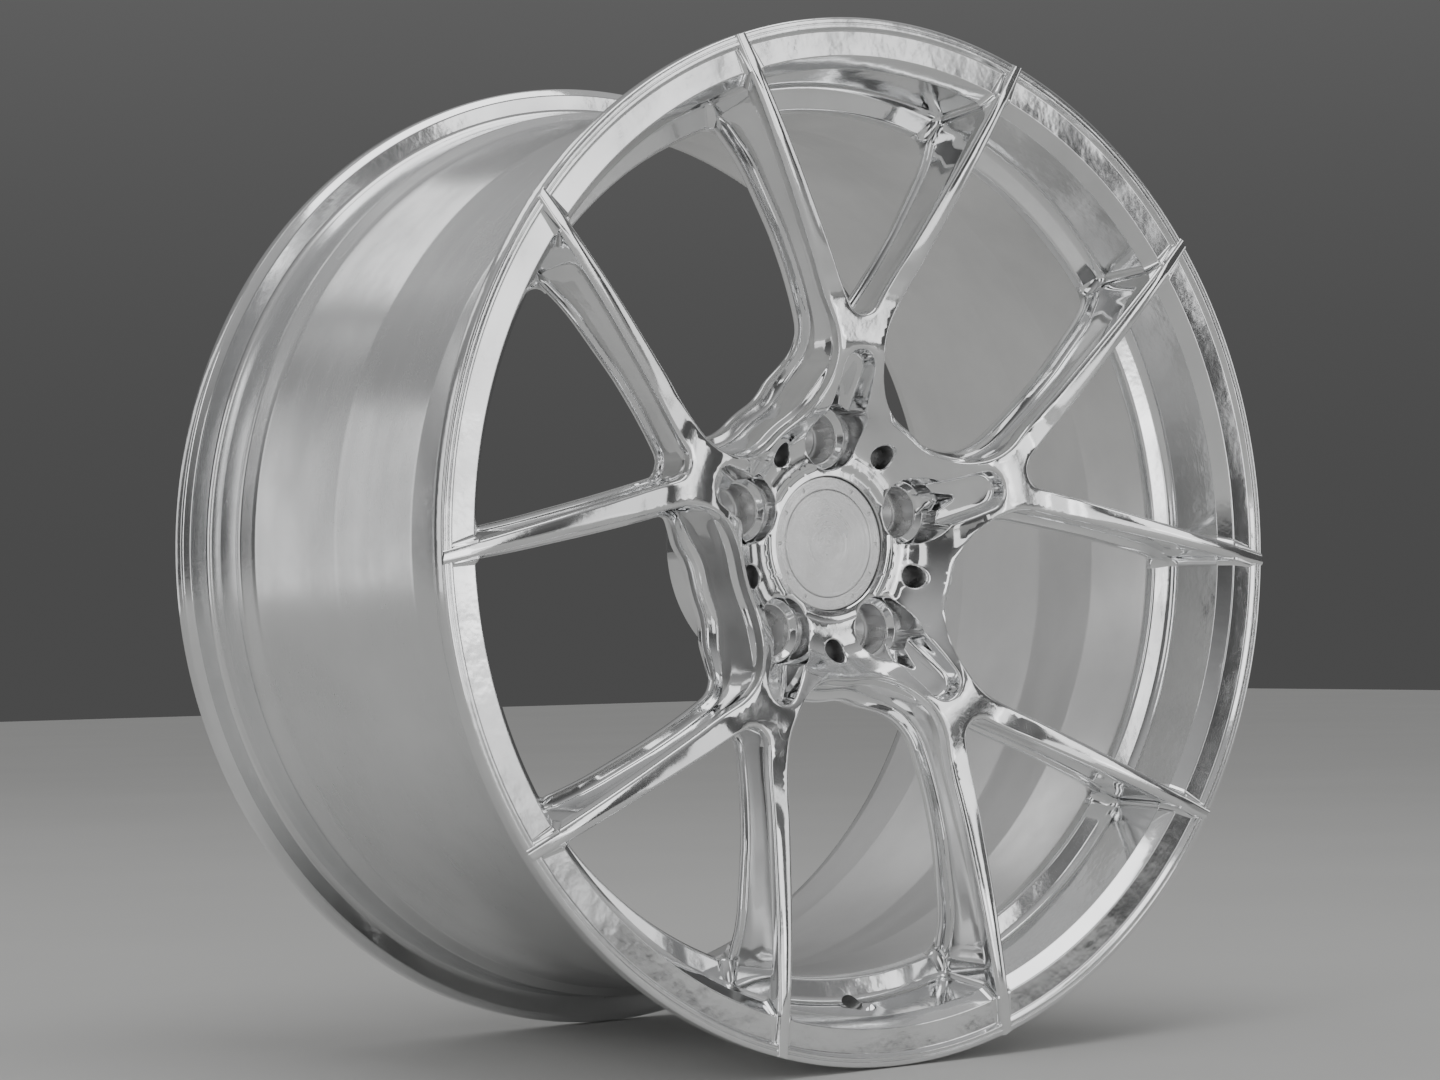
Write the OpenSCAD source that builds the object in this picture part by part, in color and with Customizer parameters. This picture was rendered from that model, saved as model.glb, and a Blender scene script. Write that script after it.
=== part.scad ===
// Forged one-piece racing wheel, 20 x 10, with five Y-shaped arms that split into ten spokes,
// and a centre cap that pulls out of the hub bore.
//
// The wheel turns about the Y axis and its face looks towards -Y. The origin is the middle of
// the rim. Shapes are drawn lying down, with the face upwards and "depth" counted down from the
// front plane of the wheel, and stand() turns them upright. The forging is one piece of metal:
// its nodes meet face to face on simple cylinders and planes.

/* [Rim] */
// Diameter of the bead seats
bead_seat_d = 512.8; // [420:0.1:640]
// Width between the two flanges
rim_width = 254; // [200:1:330]
// Height of a flange over its bead seat
flange_h = 17.3; // [15:0.1:20]
// Thickness of a flange
flange_t = 12.1; // [10:0.1:15]
// Width of a bead seat
seat_w = 22; // [18:0.5:26]
// How far the well lies below the bead seats
well_drop = 21.4; // [18:0.1:26]
// Width of the floor of the well
well_w = 30; // [24:1:40]
// Wall of the barrel and the well
barrel_wall = 5.5; // [4:0.1:8]

/* [Front lip] */
// Width of the flat round the edge of the lip
edge_w = 5.7; // [3:0.1:8]
// How far that flat lies behind the ends of the spokes
edge_drop = 0.8; // [0.5:0.1:1.5]
// Width of the sunk face of the lip
lip_w = 13.2; // [10:0.1:15]
// Depth of the sunk face of the lip
lip_drop = 3.5; // [2:0.1:6]
// Depth at which the inner wall of the lip starts
lip_wall_top = 11; // [9:0.5:14]
// Metal between the inner wall of the lip and the bead seat
lip_wall_t = 8.4; // [7:0.1:10]
// Depth of the ledge behind the lip
ledge_depth = 42; // [38:0.5:46]
// How much the inner wall of the lip leans in on its way to the ledge
lip_lean = 4; // [2:0.5:6]

/* [Spokes] */
// Angle between the end of a spoke and the middle of its arm
tip_angle = 20; // [18:0.1:21]
// Radius at which the middle lines of two spokes meet
node_r = 97.2; // [92:0.1:104]
// Depth that the face would reach where those lines meet
node_depth = 29.9; // [24:0.1:34]
// Share of that depth that comes from the curve of the face
dish = 0.78; // [0.6:0.01:0.9]
// Width of a spoke's front ridge at the rim
ridge_tip_w = 7; // [6:0.5:9]
// Width of a spoke's front ridge where it meets its arm
ridge_node_w = 15; // [12:0.5:17]
// Height of the ridge above the side pockets
ridge_h = 8; // [6:0.5:10]
// How far the side pockets are sunk below the ridge
pocket_sink = 1.5; // [1:0.1:2.5]
// How far the lower rail of a spoke stands out past the ridge
rail_out = 4.5; // [3:0.1:6]
// Height of the lower rail
rail_h = 9; // [7:0.5:11]
// Depth of the back of a spoke at its thinnest
spoke_back = 40; // [37:0.5:44]
// Depth of the back of a spoke at the rim
gusset_back = 50; // [48:0.5:54]
// Length of the deep foot of a spoke at the rim
gusset_len = 62; // [50:1:70]

/* [Arms] */
// Depth of the face of an arm where its spokes part
arm_top_depth = 21; // [18:0.5:23]
// Depth of the face of an arm at the hub
arm_hub_depth = 33; // [30:0.5:36]
// Radius of the rounded hub end of a large window
window_r = 42; // [38:0.5:44]
// Radius of the rounded end of a window inside a Y
crotch_r = 10; // [8:0.5:12]
// Thickness of an arm
arm_t = 38; // [34:0.5:42]

/* [Hub] */
// Offset of the mounting face from the middle of the rim
offset_et = 35; // [20:1:45]
// Diameter of the centring bore
hub_bore_d = 66.1; // [54:0.1:72.6]
// Diameter of the circle of lug holes
pcd = 114.3; // [108:0.1:137.2]
// Diameter of a lug hole
lug_d = 15; // [13:0.1:15.5]
// Diameter of a lug hole's counterbore
lug_pocket_d = 29; // [27:0.5:31]
// Diameter of the wider cut round a counterbore
lug_rim_d = 37; // [34:0.5:38]
// Depth of the floor of that wider cut
lug_rim_depth = 60.6; // [56:0.1:64]
// Width of the flat part of that floor, outside its chamfer
lug_rim_flat = 0.8; // [0.4:0.1:1.5]
// Height of the trough's floor above the floor of the wider cut, at the lug hole
trough_near_h = 4.5; // [3:0.5:8]
// Height of the trough's floor above the floor of the wider cut, at its far end
trough_far_h = 14.5; // [10:0.5:18]
// Metal between the floor of a counterbore and the mounting face
lug_seat_t = 23.5; // [18:0.5:34]
// Metal outside the circle of lug holes, up to where the windows start
hub_margin = 15.85; // [15:0.05:19]
// Metal outside the circle of lug holes on the pad that meets the vehicle
pad_margin = 13.85; // [12:0.05:16]
// How far the rail round the hub stands out past the pad
hub_rail_out = 14; // [10:0.5:15]
// Depth of the flat round the cap
hub_face_depth = 52; // [50:0.5:54]
// Width of the flat round the cap
hub_face_w = 8.85; // [6:0.05:10]
// Diameter of the small holes between the lugs
small_hole_d = 12; // [10:0.5:14]
// How far their circle lies outside the circle of lug holes
small_hole_out = 0.45; // [0:0.05:2]

/* [Valve hole] */
// Diameter of the valve hole
valve_d = 11.5; // [11.3:0.1:16]
// Diameter of the flat that the valve seals on
valve_face_d = 20; // [18:0.5:22]
// Angle of the valve hole to the axis of the wheel
valve_tilt = 30; // [25:1:35]
// Length of the rim segment that holds the valve hole, as an angle
valve_segment = 20; // [16:1:24]

/* [Centre cap] */
// Diameter of the cap
cap_d = 71.7; // [68:0.1:78]
// Gap between the cap and its recess, all round
cap_gap = 0.3; // [0.2:0.05:0.5]
// How far the face of the cap lies below the flat round it
cap_inset = 1.6; // [0.5:0.1:3]
// Width of the ring round the plate in the middle of the cap
cap_ring_w = 6.95; // [5:0.05:8]
// Thickness of the plate
cap_plate_t = 2; // [1.5:0.1:3]
// Thickness of the ring round the plate
cap_ring_t = 4; // [3.5:0.1:5]
// Thickness of the clip's flange behind the ring
clip_flange_t = 1.9; // [1.5:0.1:3]
// Length of the clip's legs
leg_len = 13; // [10:0.5:16]
// Number of legs
legs = 6; // [4:1:8]
// Ledge between the cap's recess and the bore that its legs grip
clip_ledge = 4.15; // [3:0.05:5]
// Number of marks engraved in the ring
marks = 12; // [6:1:24]
// Running gap between the legs' barbs and the bore
barb_gap = 0.06; // [0.03:0.01:0.1]
// Thickness of the spring wire
wire_d = 1.6; // [1.2:0.1:2]
// Thickness of the seal
seal_d = 1.8; // [1.5:0.1:2.2]

/* [Hidden] */
$fn = 96;
arms = 5;
arm_step = 360 / arms;
arm_names = [for (i = [1:arms]) str("y_arm_", i)];
spoke_names = [for (i = [1:2 * arms]) str("spoke_", i)];
eps = 0.5;

half_w = rim_width / 2 + flange_t;
seat_r = bead_seat_d / 2;
rim_r = seat_r + flange_h;
well_r = seat_r - well_drop;
well_in_r = well_r - barrel_wall;
lip_split = gusset_back + 2;
well_start = lip_split + 12;
well_end = well_start + well_w;
hump_h = 1.3;
seat_fall = 1.9;

// Middle lines of the spokes, in the plane of the wheel, with the arm pointing along +Y
tip = rim_r * [sin(tip_angle), cos(tip_angle)];
node_pt = [0, node_r];
spoke_len = norm(tip - node_pt);
along = (tip - node_pt) / spoke_len;
across = [along.y, -along.x];
spoke_angle = atan2(along.x, along.y);
arm_cut = 0.75 * spoke_len;

mount_depth = half_w - offset_et;
lug_r = pcd / 2;
lug_seat_depth = mount_depth - lug_seat_t;
lug_chamfer = (lug_rim_d - lug_pocket_d) / 2 - lug_rim_flat;
hub_r = lug_r + hub_margin;
pad_r = lug_r + pad_margin;
hub_rail_r = pad_r + hub_rail_out;
small_hole_r = lug_r + small_hole_out;
cap_r = cap_d / 2;
plate_r = cap_r - cap_ring_w;
recess_r = cap_r + cap_gap;
hub_face_r = recess_r + hub_face_w;
bore_r = hub_bore_d / 2;
cap_face_depth = hub_face_depth + cap_inset;
clip_depth = cap_face_depth + cap_ring_t;
recess_floor = clip_depth + clip_flange_t + cap_gap + 0.2;
clip_bore_r = recess_r - clip_ledge;
clip_bore_end = recess_floor + leg_len + 3;
leg_r = clip_bore_r - 0.6;
leg_t = 2;
metal = [0.86, 0.87, 0.88];

// Depth of the face at a distance s from the rim, measured along a spoke
function face_depth(s) = let (x = s / spoke_len) node_depth * ((1 - dish) * x + dish * x * x);
function z_at(depth) = half_w - depth;
function arc(c, r, a0, a1, n = 14) =
    [for (i = [0:n]) let (a = a0 + (a1 - a0) * i / n) c + r * [cos(a), sin(a)]];
function mirrored(pts) = [for (i = [len(pts) - 1:-1:0]) [-pts[i].x, pts[i].y]];
function heading(v) = atan2(v.y, v.x);

// Stands a shape that was drawn lying down upright, with its face towards -Y
module stand() {
    rotate([90, 0, 0]) children();
}

module each_arm() {
    for (i = [0:arms - 1]) rotate([0, 0, i * arm_step]) children();
}

// ---- Rim --------------------------------------------------------------------------------

function lip_inner_r(depth) = seat_r - lip_wall_t
    - lip_lean * (depth - lip_wall_top) / (ledge_depth - lip_wall_top);

seat_split = [lip_inner_r(ledge_depth) - 0.5, z_at(ledge_depth)];

// Inner face of the front lip, from the back of its seat out to the edge: radius and height
seat_inside = [
    [well_in_r, z_at(lip_split)],
    [well_in_r, z_at(gusset_back - 1)],
    [well_in_r + 1.5, z_at(ledge_depth + 2)],
    seat_split,
    [lip_inner_r(ledge_depth), z_at(ledge_depth - 2)],
    [lip_inner_r(flange_t), z_at(flange_t)]];
flange_inside = [
    [lip_inner_r(flange_t), z_at(flange_t)],
    [lip_inner_r(lip_wall_top), z_at(lip_wall_top)],
    [rim_r - edge_w - 1 - lip_w, z_at(lip_drop)],
    [rim_r - edge_w - 1, z_at(lip_drop)],
    [rim_r - edge_w, z_at(edge_drop)],
    [rim_r - 1.5, z_at(edge_drop)],
    [rim_r, z_at(edge_drop + 1.5)]];

// Tyre side of a flange and of a bead seat, with the depth counted from the nearer side
function flange_outside() = [
    [rim_r, flange_t - 4],
    [rim_r - 2.5, flange_t - 1],
    [rim_r - 6, flange_t],
    [seat_r + 1, flange_t]];
function seat_outside() = [
    [seat_r + 1, flange_t],
    [seat_r, flange_t + 1.5],
    [seat_r - seat_fall, flange_t + seat_w],
    [seat_r - seat_fall + hump_h, flange_t + seat_w + 3],
    [seat_r - seat_fall + hump_h, flange_t + seat_w + 6]];
function in_front(pts) = [for (p = pts) [p.x, z_at(p.y)]];
function behind(pts) = [for (p = pts) [p.x, p.y - half_w]];

// The seat and the ledge meet on the cone between seat_split and the end of the hump
hump_end = [seat_r - seat_fall + hump_h, z_at(flange_t + seat_w + 6)];
under_hump = [seat_r - seat_fall - 3, z_at(flange_t + seat_w + 12)];
front_seat_outline = concat([for (i = [3:len(seat_inside) - 1]) seat_inside[i]], in_front(seat_outside()));
ledge_outline = concat([for (i = [0:3]) seat_inside[i]], [hump_end, under_hump, [well_r + 9, z_at(lip_split)]]);

back = 2 * half_w;
back_split = back - flange_t - seat_w - 14;
barrel_end_r = seat_r - seat_fall - 4;
ramp_end_r = barrel_end_r - 5;
ramp_len = 58;

well_outline = [
    [well_in_r, z_at(lip_split)],
    [well_r + 9, z_at(lip_split)],
    [well_r, z_at(well_start)],
    [well_r, z_at(well_end)],
    [well_in_r, z_at(well_end + 2)]];

ramp_outline = [
    [well_r, z_at(well_end)],
    [ramp_end_r, z_at(well_end + ramp_len)],
    [ramp_end_r - barrel_wall, z_at(well_end + ramp_len + 2)],
    [well_in_r, z_at(well_end + 2)]];

barrel_outline = [
    [ramp_end_r, z_at(well_end + ramp_len)],
    [barrel_end_r, z_at(back_split)],
    [barrel_end_r - barrel_wall, z_at(back_split)],
    [ramp_end_r - barrel_wall, z_at(well_end + ramp_len + 2)]];

back_seat_outline = concat(behind(seat_outside()), [
    [barrel_end_r, z_at(back_split)],
    [barrel_end_r - barrel_wall, z_at(back_split)],
    [seat_r - 7, z_at(back - flange_t)]]);

back_flange_outline = concat(behind(flange_outside()), [
    [seat_r - 7, z_at(back - flange_t)],
    [seat_r - 5, z_at(back - 4)],
    [seat_r + 1, z_at(back)],
    [rim_r - 2, z_at(back)],
    [rim_r, z_at(back - 2)]]);

// Everything from the inner face of the lip outwards, which the spokes stop at
module rim_space() {
    rotate_extrude() polygon(concat(seat_inside, [for (i = [1:len(flange_inside) - 2]) flange_inside[i]],
        [[rim_r + 30, z_at(edge_drop)], [rim_r + 30, z_at(back)], [well_in_r, z_at(back)]]));
}

module valve_cut() {
    // the hole runs back and outwards from the corner of the lip and the ledge
    rotate([0, 0, -90]) translate([lip_inner_r(ledge_depth) - 1.5, 0, z_at(ledge_depth - 6)])
        rotate([0, 180 - valve_tilt, 0]) {
        cylinder(h = 60, r = valve_d / 2);
        translate([0, 0, -30]) cylinder(h = 32, r = valve_face_d / 2);
    }
}

module outer_flange() {
    color(metal) stand() rotate_extrude() polygon(concat(flange_inside, in_front(flange_outside())));
}

// Turns an outline round the axis, past the segment that holds the valve
module past_valve(outline) {
    rotate([0, 0, -90 + valve_segment / 2]) rotate_extrude(angle = 360 - valve_segment) polygon(outline);
}

module outer_seat() {
    color(metal) stand() past_valve(front_seat_outline);
}

module lip_ledge() {
    color(metal) stand() past_valve(ledge_outline);
}

module valve_segment() {
    color(metal) stand() difference() {
        rotate([0, 0, -90 - valve_segment / 2]) rotate_extrude(angle = valve_segment)
            polygon(concat([for (i = [0:2]) seat_inside[i]], front_seat_outline, [under_hump,
                [well_r + 9, z_at(lip_split)]]));
        valve_cut();
    }
}

module well() {
    color(metal) stand() difference() {
        rotate_extrude() polygon(well_outline);
        valve_cut();
    }
}

module barrel_ramp() {
    color(metal) stand() rotate_extrude() polygon(ramp_outline);
}

module barrel() {
    color(metal) stand() rotate_extrude() polygon(barrel_outline);
}

module inner_seat() {
    color(metal) stand() rotate_extrude() polygon(back_seat_outline);
}

module inner_flange() {
    color(metal) stand() rotate_extrude() polygon(back_flange_outline);
}

// ---- Hub --------------------------------------------------------------------------------

hub_rail_top = arm_hub_depth + arm_t - rail_h - 1;
hub_outline = [
    [bore_r + 1.5, z_at(mount_depth)],
    [bore_r, z_at(mount_depth - 1.5)],
    [bore_r, z_at(clip_bore_end)],
    [clip_bore_r, z_at(clip_bore_end - 1.3)],
    [clip_bore_r, z_at(recess_floor)],
    [recess_r, z_at(recess_floor)],
    [recess_r, z_at(hub_face_depth)],
    [hub_face_r, z_at(hub_face_depth)],
    [small_hole_r - 4, z_at(hub_face_depth - 1)],
    [small_hole_r + 2, z_at(hub_face_depth - 4)],
    [hub_r - 6, z_at(arm_hub_depth + 6)],
    [hub_r, z_at(arm_hub_depth)],
    [hub_r, z_at(hub_rail_top - 2)],
    [hub_rail_r, z_at(hub_rail_top)],
    [hub_rail_r, z_at(arm_hub_depth + arm_t)],
    [pad_r + 3, z_at(min(arm_hub_depth + arm_t + 4, mount_depth - 2))],
    [pad_r, z_at(min(arm_hub_depth + arm_t + 8, mount_depth - 1))],
    [pad_r, z_at(mount_depth)]];

module hub_solid() {
    rotate_extrude() polygon(hub_outline);
}

// Trough that runs from a lug hole out into its arm
trough_end_r = 9;
trough_end = node_r - 4;
module trough() {
    translate([0, 0, z_at(lug_rim_depth - trough_near_h)]) linear_extrude(60)
        polygon([[-lug_pocket_d / 2 + 2, lug_r], [lug_pocket_d / 2 - 2, lug_r],
                 [trough_end_r, trough_end], [-trough_end_r, trough_end]]);
    translate([0, trough_end, z_at(lug_rim_depth - trough_far_h)]) cylinder(h = 60, r = trough_end_r);
}

module lug_cut() {
    translate([0, lug_r, 0]) {
        translate([0, 0, z_at(mount_depth + eps)]) cylinder(h = back, r = lug_d / 2);
        translate([0, 0, z_at(lug_seat_depth)]) cylinder(h = back, r = lug_pocket_d / 2);
        // wider cut in front, with a chamfer down to the counterbore
        translate([0, 0, z_at(lug_rim_depth)]) cylinder(h = back, r = lug_rim_d / 2);
        translate([0, 0, z_at(lug_rim_depth + lug_chamfer)])
            cylinder(h = lug_chamfer + 0.01, r1 = lug_pocket_d / 2, r2 = lug_pocket_d / 2 + lug_chamfer);
        // conical seat for the bolt
        translate([0, 0, z_at(lug_seat_depth + 5)]) cylinder(h = 5.01, r1 = lug_d / 2, r2 = lug_d / 2 + 4);
    }
}

module hub() {
    color(metal) stand() difference() {
        hub_solid();
        each_arm() {
            lug_cut();
            trough();
            rotate([0, 0, arm_step / 2]) translate([0, small_hole_r, z_at(mount_depth + eps)])
                cylinder(h = back, r = small_hole_d / 2);
        }
    }
}

// ---- Arms -------------------------------------------------------------------------------

// Edge of a spoke in the plane of the wheel: side is +1 towards the large window and -1 towards
// the window inside the Y, and grow widens it. Gives a point, a direction and a normal.
function edge_pt(side, grow, at_tip) = (at_tip ? tip : node_pt)
    + side * across * ((at_tip ? ridge_tip_w : ridge_node_w) / 2 + grow);
function edge_dir(side) = let (v = edge_pt(side, 0, true) - edge_pt(side, 0, false)) v / norm(v);
function edge_normal(side) = let (d = edge_dir(side)) side * [d.y, -d.x];

// Centre of the rounded hub end of a large window, which touches the hub and the spoke's edge
function window_centre() =
    let (n = edge_normal(1), d = edge_dir(1), q = edge_pt(1, 0, false) + window_r * n, b = q * d)
    q + d * (-b + sqrt(b * b - (q * q - (hub_r + window_r) * (hub_r + window_r))));
function crotch_centre() =
    let (n = edge_normal(-1), p = edge_pt(-1, 0, false)) [0, p.y + (crotch_r + p.x * n.x) / n.y];

// Half of an arm's outline, from the hub round the window to the end face and the crotch
function half_arm(grow) =
    let (c = window_centre(), n = edge_normal(1), k = crotch_centre(), m = edge_normal(-1),
         end_out = node_pt + along * (spoke_len - arm_cut), w = ridge_half_w(arm_cut) + grow)
    concat([[0, lug_r]],
           arc(c, window_r - grow, heading(-c), heading(-n) - 360 * (heading(-n) > heading(-c) ? 1 : 0)),
           [end_out + across * w, end_out - across * w],
           arc(k, crotch_r - grow, heading(-m), -90, 6));
function ridge_half_w(s) = (ridge_tip_w + (ridge_node_w - ridge_tip_w) * s / spoke_len) / 2;
function arm_outline(grow) = let (h = half_arm(grow)) concat(h, mirrored([for (i = [1:len(h) - 1]) h[i]]));

// Side view of an arm: distance from the wheel's axis and height
arm_end = node_pt.y + along.y * (spoke_len - arm_cut);
function arm_face() = [
    [lug_r, z_at(arm_hub_depth + 10)],
    [hub_r, z_at(arm_hub_depth)],
    [node_r - 9, z_at((arm_hub_depth + arm_top_depth) / 2)],
    [node_r + 6, z_at(arm_top_depth + 1)],
    [arm_end - 8, z_at(face_depth(arm_cut) + 1)],
    [arm_end + 12, z_at(face_depth(arm_cut) - 2)]];
function lowered(pts, by) = [for (i = [len(pts) - 1:-1:0]) [pts[i].x, pts[i].y - by]];
function arm_back() = [
    [arm_end + 12, z_at(spoke_back)],
    [node_r + 8, z_at(arm_top_depth + arm_t - 4)],
    [hub_r, z_at(arm_hub_depth + arm_t)],
    [lug_r, z_at(arm_hub_depth + arm_t)]];

// Extrudes a side view, drawn as distance and height, across the arm
module side_prism(pts, w) {
    rotate([90, 0, 90]) translate([0, 0, -w / 2]) linear_extrude(w) polygon(pts);
}

module arm_layer(grow, pts) {
    intersection() {
        translate([0, 0, -half_w]) linear_extrude(back) polygon(arm_outline(grow));
        side_prism(pts, 200);
    }
}

module arm_solid() {
    rail = [[arm_end + 12, rail_h], [node_r + 8, rail_h], [hub_r, rail_h], [lug_r, rail_h]];
    b = arm_back();
    arm_layer(0, concat(arm_face(), lowered(arm_face(), ridge_h)));
    arm_layer(-pocket_sink, concat(arm_face(), arm_back()));
    arm_layer(rail_out, concat([for (i = [3:-1:0]) b[i] + [0, rail[i].y]], b));
}

module y_arm(i) {
    color(metal) stand() rotate([0, 0, -(i - 1) * arm_step]) difference() {
        arm_solid();
        hub_solid();
        cylinder(h = 2 * back, r = hub_r, center = true);
        lug_cut();
        trough();
    }
}

// ---- Spokes -----------------------------------------------------------------------------

steps = 8;
function spoke_face() = [for (i = [0:steps]) let (s = arm_cut * i / steps) [s, z_at(face_depth(s))]];
// the spokes are drawn a little too long and cut back to the lip
foot = -10;
tip_set_back = 0.7;
function spoke_underside() = [
    [arm_cut, z_at(spoke_back)],
    [gusset_len + 25, z_at(spoke_back)],
    [gusset_len, z_at(spoke_back + 1.5)],
    [rim_r - well_in_r + 8, z_at(gusset_back)],
    [foot, z_at(gusset_back)]];

// One layer of a spoke: a side view cut to a width that grows from the rim to the arm
module spoke_layer(pts, grow) {
    intersection() {
        translate([0, 30, 0]) rotate([90, 0, 0]) linear_extrude(60) polygon(pts);
        translate([0, 0, -half_w]) linear_extrude(back) polygon([
            [foot, ridge_half_w(foot) + grow], [arm_cut, ridge_half_w(arm_cut) + grow],
            [arm_cut, -ridge_half_w(arm_cut) - grow], [foot, -ridge_half_w(foot) - grow]]);
    }
}

module spoke_solid() {
    face = concat([[foot, z_at(0)]], spoke_face());
    under = spoke_underside();
    near = [for (p = face) if (p.x < gusset_len) p];
    // ridge, web between the side pockets, plain foot at the rim, and lower rail
    spoke_layer(concat(face, lowered(face, ridge_h)), 0);
    spoke_layer(concat(face, under), -pocket_sink);
    spoke_layer(concat(near, [[gusset_len, z_at(face_depth(gusset_len))]], [for (i = [2:4]) under[i]]), 0);
    spoke_layer([[arm_cut, z_at(spoke_back - rail_h)], [gusset_len - 2, z_at(spoke_back - rail_h)],
                 [gusset_len - 2, z_at(spoke_back + 1)], under[1], under[0]], rail_out);
}

module spoke(i) {
    turn = -floor(i / 2) * arm_step;
    side = i % 2 == 1 ? -1 : 1;
    color(metal) stand() difference() {
        intersection() {
            rotate([0, 0, turn]) mirror([side < 0 ? 1 : 0, 0, 0])
                translate([tip.x, tip.y, 0]) rotate([0, 0, 270 - spoke_angle]) spoke_solid();
            cylinder(h = 3 * half_w, r = rim_r - tip_set_back, center = true);
        }
        rim_space();
    }
}

// ---- Centre cap -------------------------------------------------------------------------

module cap_plate() {
    color([0.8, 0.8, 0.8]) stand() translate([0, 0, z_at(cap_face_depth + cap_plate_t)])
        cylinder(h = cap_plate_t, r = plate_r);
}

module cap_ring() {
    mark_r = (cap_r + plate_r) / 2;
    color([0.75, 0.75, 0.76]) stand() difference() {
        translate([0, 0, z_at(clip_depth)]) rotate_extrude() polygon([
            [plate_r - 4, 0], [cap_r - 0.5, 0], [cap_r, 0.5], [cap_r, cap_ring_t - 0.6],
            [cap_r - 0.6, cap_ring_t], [plate_r, cap_ring_t],
            [plate_r, cap_ring_t - cap_plate_t], [plate_r - 4, cap_ring_t - cap_plate_t]]);
        for (i = [0:marks - 1]) rotate([0, 0, i * 360 / marks])
            translate([-0.5, mark_r - 1, z_at(cap_face_depth + 0.4)]) cube([1, 2, 2]);
    }
}

module cap_clip() {
    barb_r = clip_bore_r - barb_gap;
    color([0.15, 0.15, 0.16]) stand() difference() {
        translate([0, 0, z_at(clip_depth + clip_flange_t)]) rotate_extrude() polygon([
            [leg_r - leg_t, clip_flange_t], [cap_r - 0.4, clip_flange_t], [cap_r - 0.4, 0], [leg_r, 0],
            [leg_r, 4 - leg_len], [barb_r, 3 - leg_len], [barb_r, 2 - leg_len], [leg_r - 0.6, -leg_len],
            [leg_r - leg_t, -leg_len]]);
        for (i = [0:legs - 1]) rotate([0, 0, (i + 0.5) * 360 / legs])
            translate([leg_r - leg_t - 2, -4, z_at(clip_depth + clip_flange_t) - leg_len - 1])
                cube([8, 8, leg_len - 1]);
        seal_shape();
    }
}

module cap_spring_wire() {
    color([0.6, 0.6, 0.62]) stand() translate([0, 0, z_at(clip_depth + clip_flange_t) - leg_len + 4])
        rotate_extrude() translate([leg_r - leg_t - wire_d / 2, 0]) circle(d = wire_d, $fn = 24);
}

module seal_shape() {
    translate([0, 0, z_at(clip_depth + clip_flange_t) + seal_d / 2 - 0.2])
        rotate_extrude() translate([(recess_r + clip_bore_r) / 2, 0]) circle(d = seal_d, $fn = 24);
}

module cap_seal() {
    color([0.05, 0.05, 0.05]) stand() seal_shape();
}

outer_flange();
outer_seat();
lip_ledge();
valve_segment();
well();
barrel_ramp();
barrel();
inner_seat();
inner_flange();
hub();
for (i = [1:arms]) y_arm(i);
for (i = [1:2 * arms]) spoke(i - 1);
cap_plate();
cap_ring();
cap_clip();
cap_spring_wire();
cap_seal();
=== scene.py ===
# %% [markdown]
# # A forged wheel in polished aluminium
# This lesson builds the looks of a forged car wheel: five Y-shaped arms that split into ten slim
# spokes, a sunk lip, a drop-centre barrel and a pull-out centre cap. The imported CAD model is
# loaded first as a fixed frame. It says how big everything is and what moves, and the surfaces
# made here are laid over it. A wheel like this is turned on a lathe and then milled, so almost
# every surface is either a profile spun round the axis or a cutter's path through the metal.
# The lesson copies both ways of working.

import bmesh
import bpy
import numpy as np
from mathutils import Matrix, Vector
from mathutils.geometry import delaunay_2d_cdt


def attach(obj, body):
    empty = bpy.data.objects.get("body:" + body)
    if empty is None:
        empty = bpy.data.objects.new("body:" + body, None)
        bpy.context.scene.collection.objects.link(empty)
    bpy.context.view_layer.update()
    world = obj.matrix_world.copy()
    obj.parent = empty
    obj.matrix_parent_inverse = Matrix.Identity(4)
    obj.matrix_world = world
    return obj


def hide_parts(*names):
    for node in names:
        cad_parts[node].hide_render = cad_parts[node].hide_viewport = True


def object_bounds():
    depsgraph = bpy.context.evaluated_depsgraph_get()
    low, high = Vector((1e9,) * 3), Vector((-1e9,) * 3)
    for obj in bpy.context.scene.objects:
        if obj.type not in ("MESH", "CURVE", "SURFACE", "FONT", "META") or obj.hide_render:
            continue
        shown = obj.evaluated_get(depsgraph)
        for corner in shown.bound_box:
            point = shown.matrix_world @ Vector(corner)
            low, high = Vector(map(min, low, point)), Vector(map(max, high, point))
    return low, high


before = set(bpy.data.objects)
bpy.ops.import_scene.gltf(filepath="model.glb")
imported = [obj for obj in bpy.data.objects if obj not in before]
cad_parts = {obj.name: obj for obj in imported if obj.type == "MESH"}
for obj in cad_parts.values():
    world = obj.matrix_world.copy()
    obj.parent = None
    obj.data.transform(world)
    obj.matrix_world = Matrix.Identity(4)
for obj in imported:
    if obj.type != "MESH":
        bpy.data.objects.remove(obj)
cad_box = [list(corner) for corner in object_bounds()]
print("CAD nodes:", len(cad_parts), "box", np.round(cad_box, 4).tolist())

# %% [markdown]
# ## Sizes
# All lengths in this lesson are millimetres on a wheel that lies face up: u and v run across the
# face and depth is counted down from the front plane. One function, `stand_up`, turns that into
# the frame's metres with the face towards -Y. The sizes repeat those of the CAD model.

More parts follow.
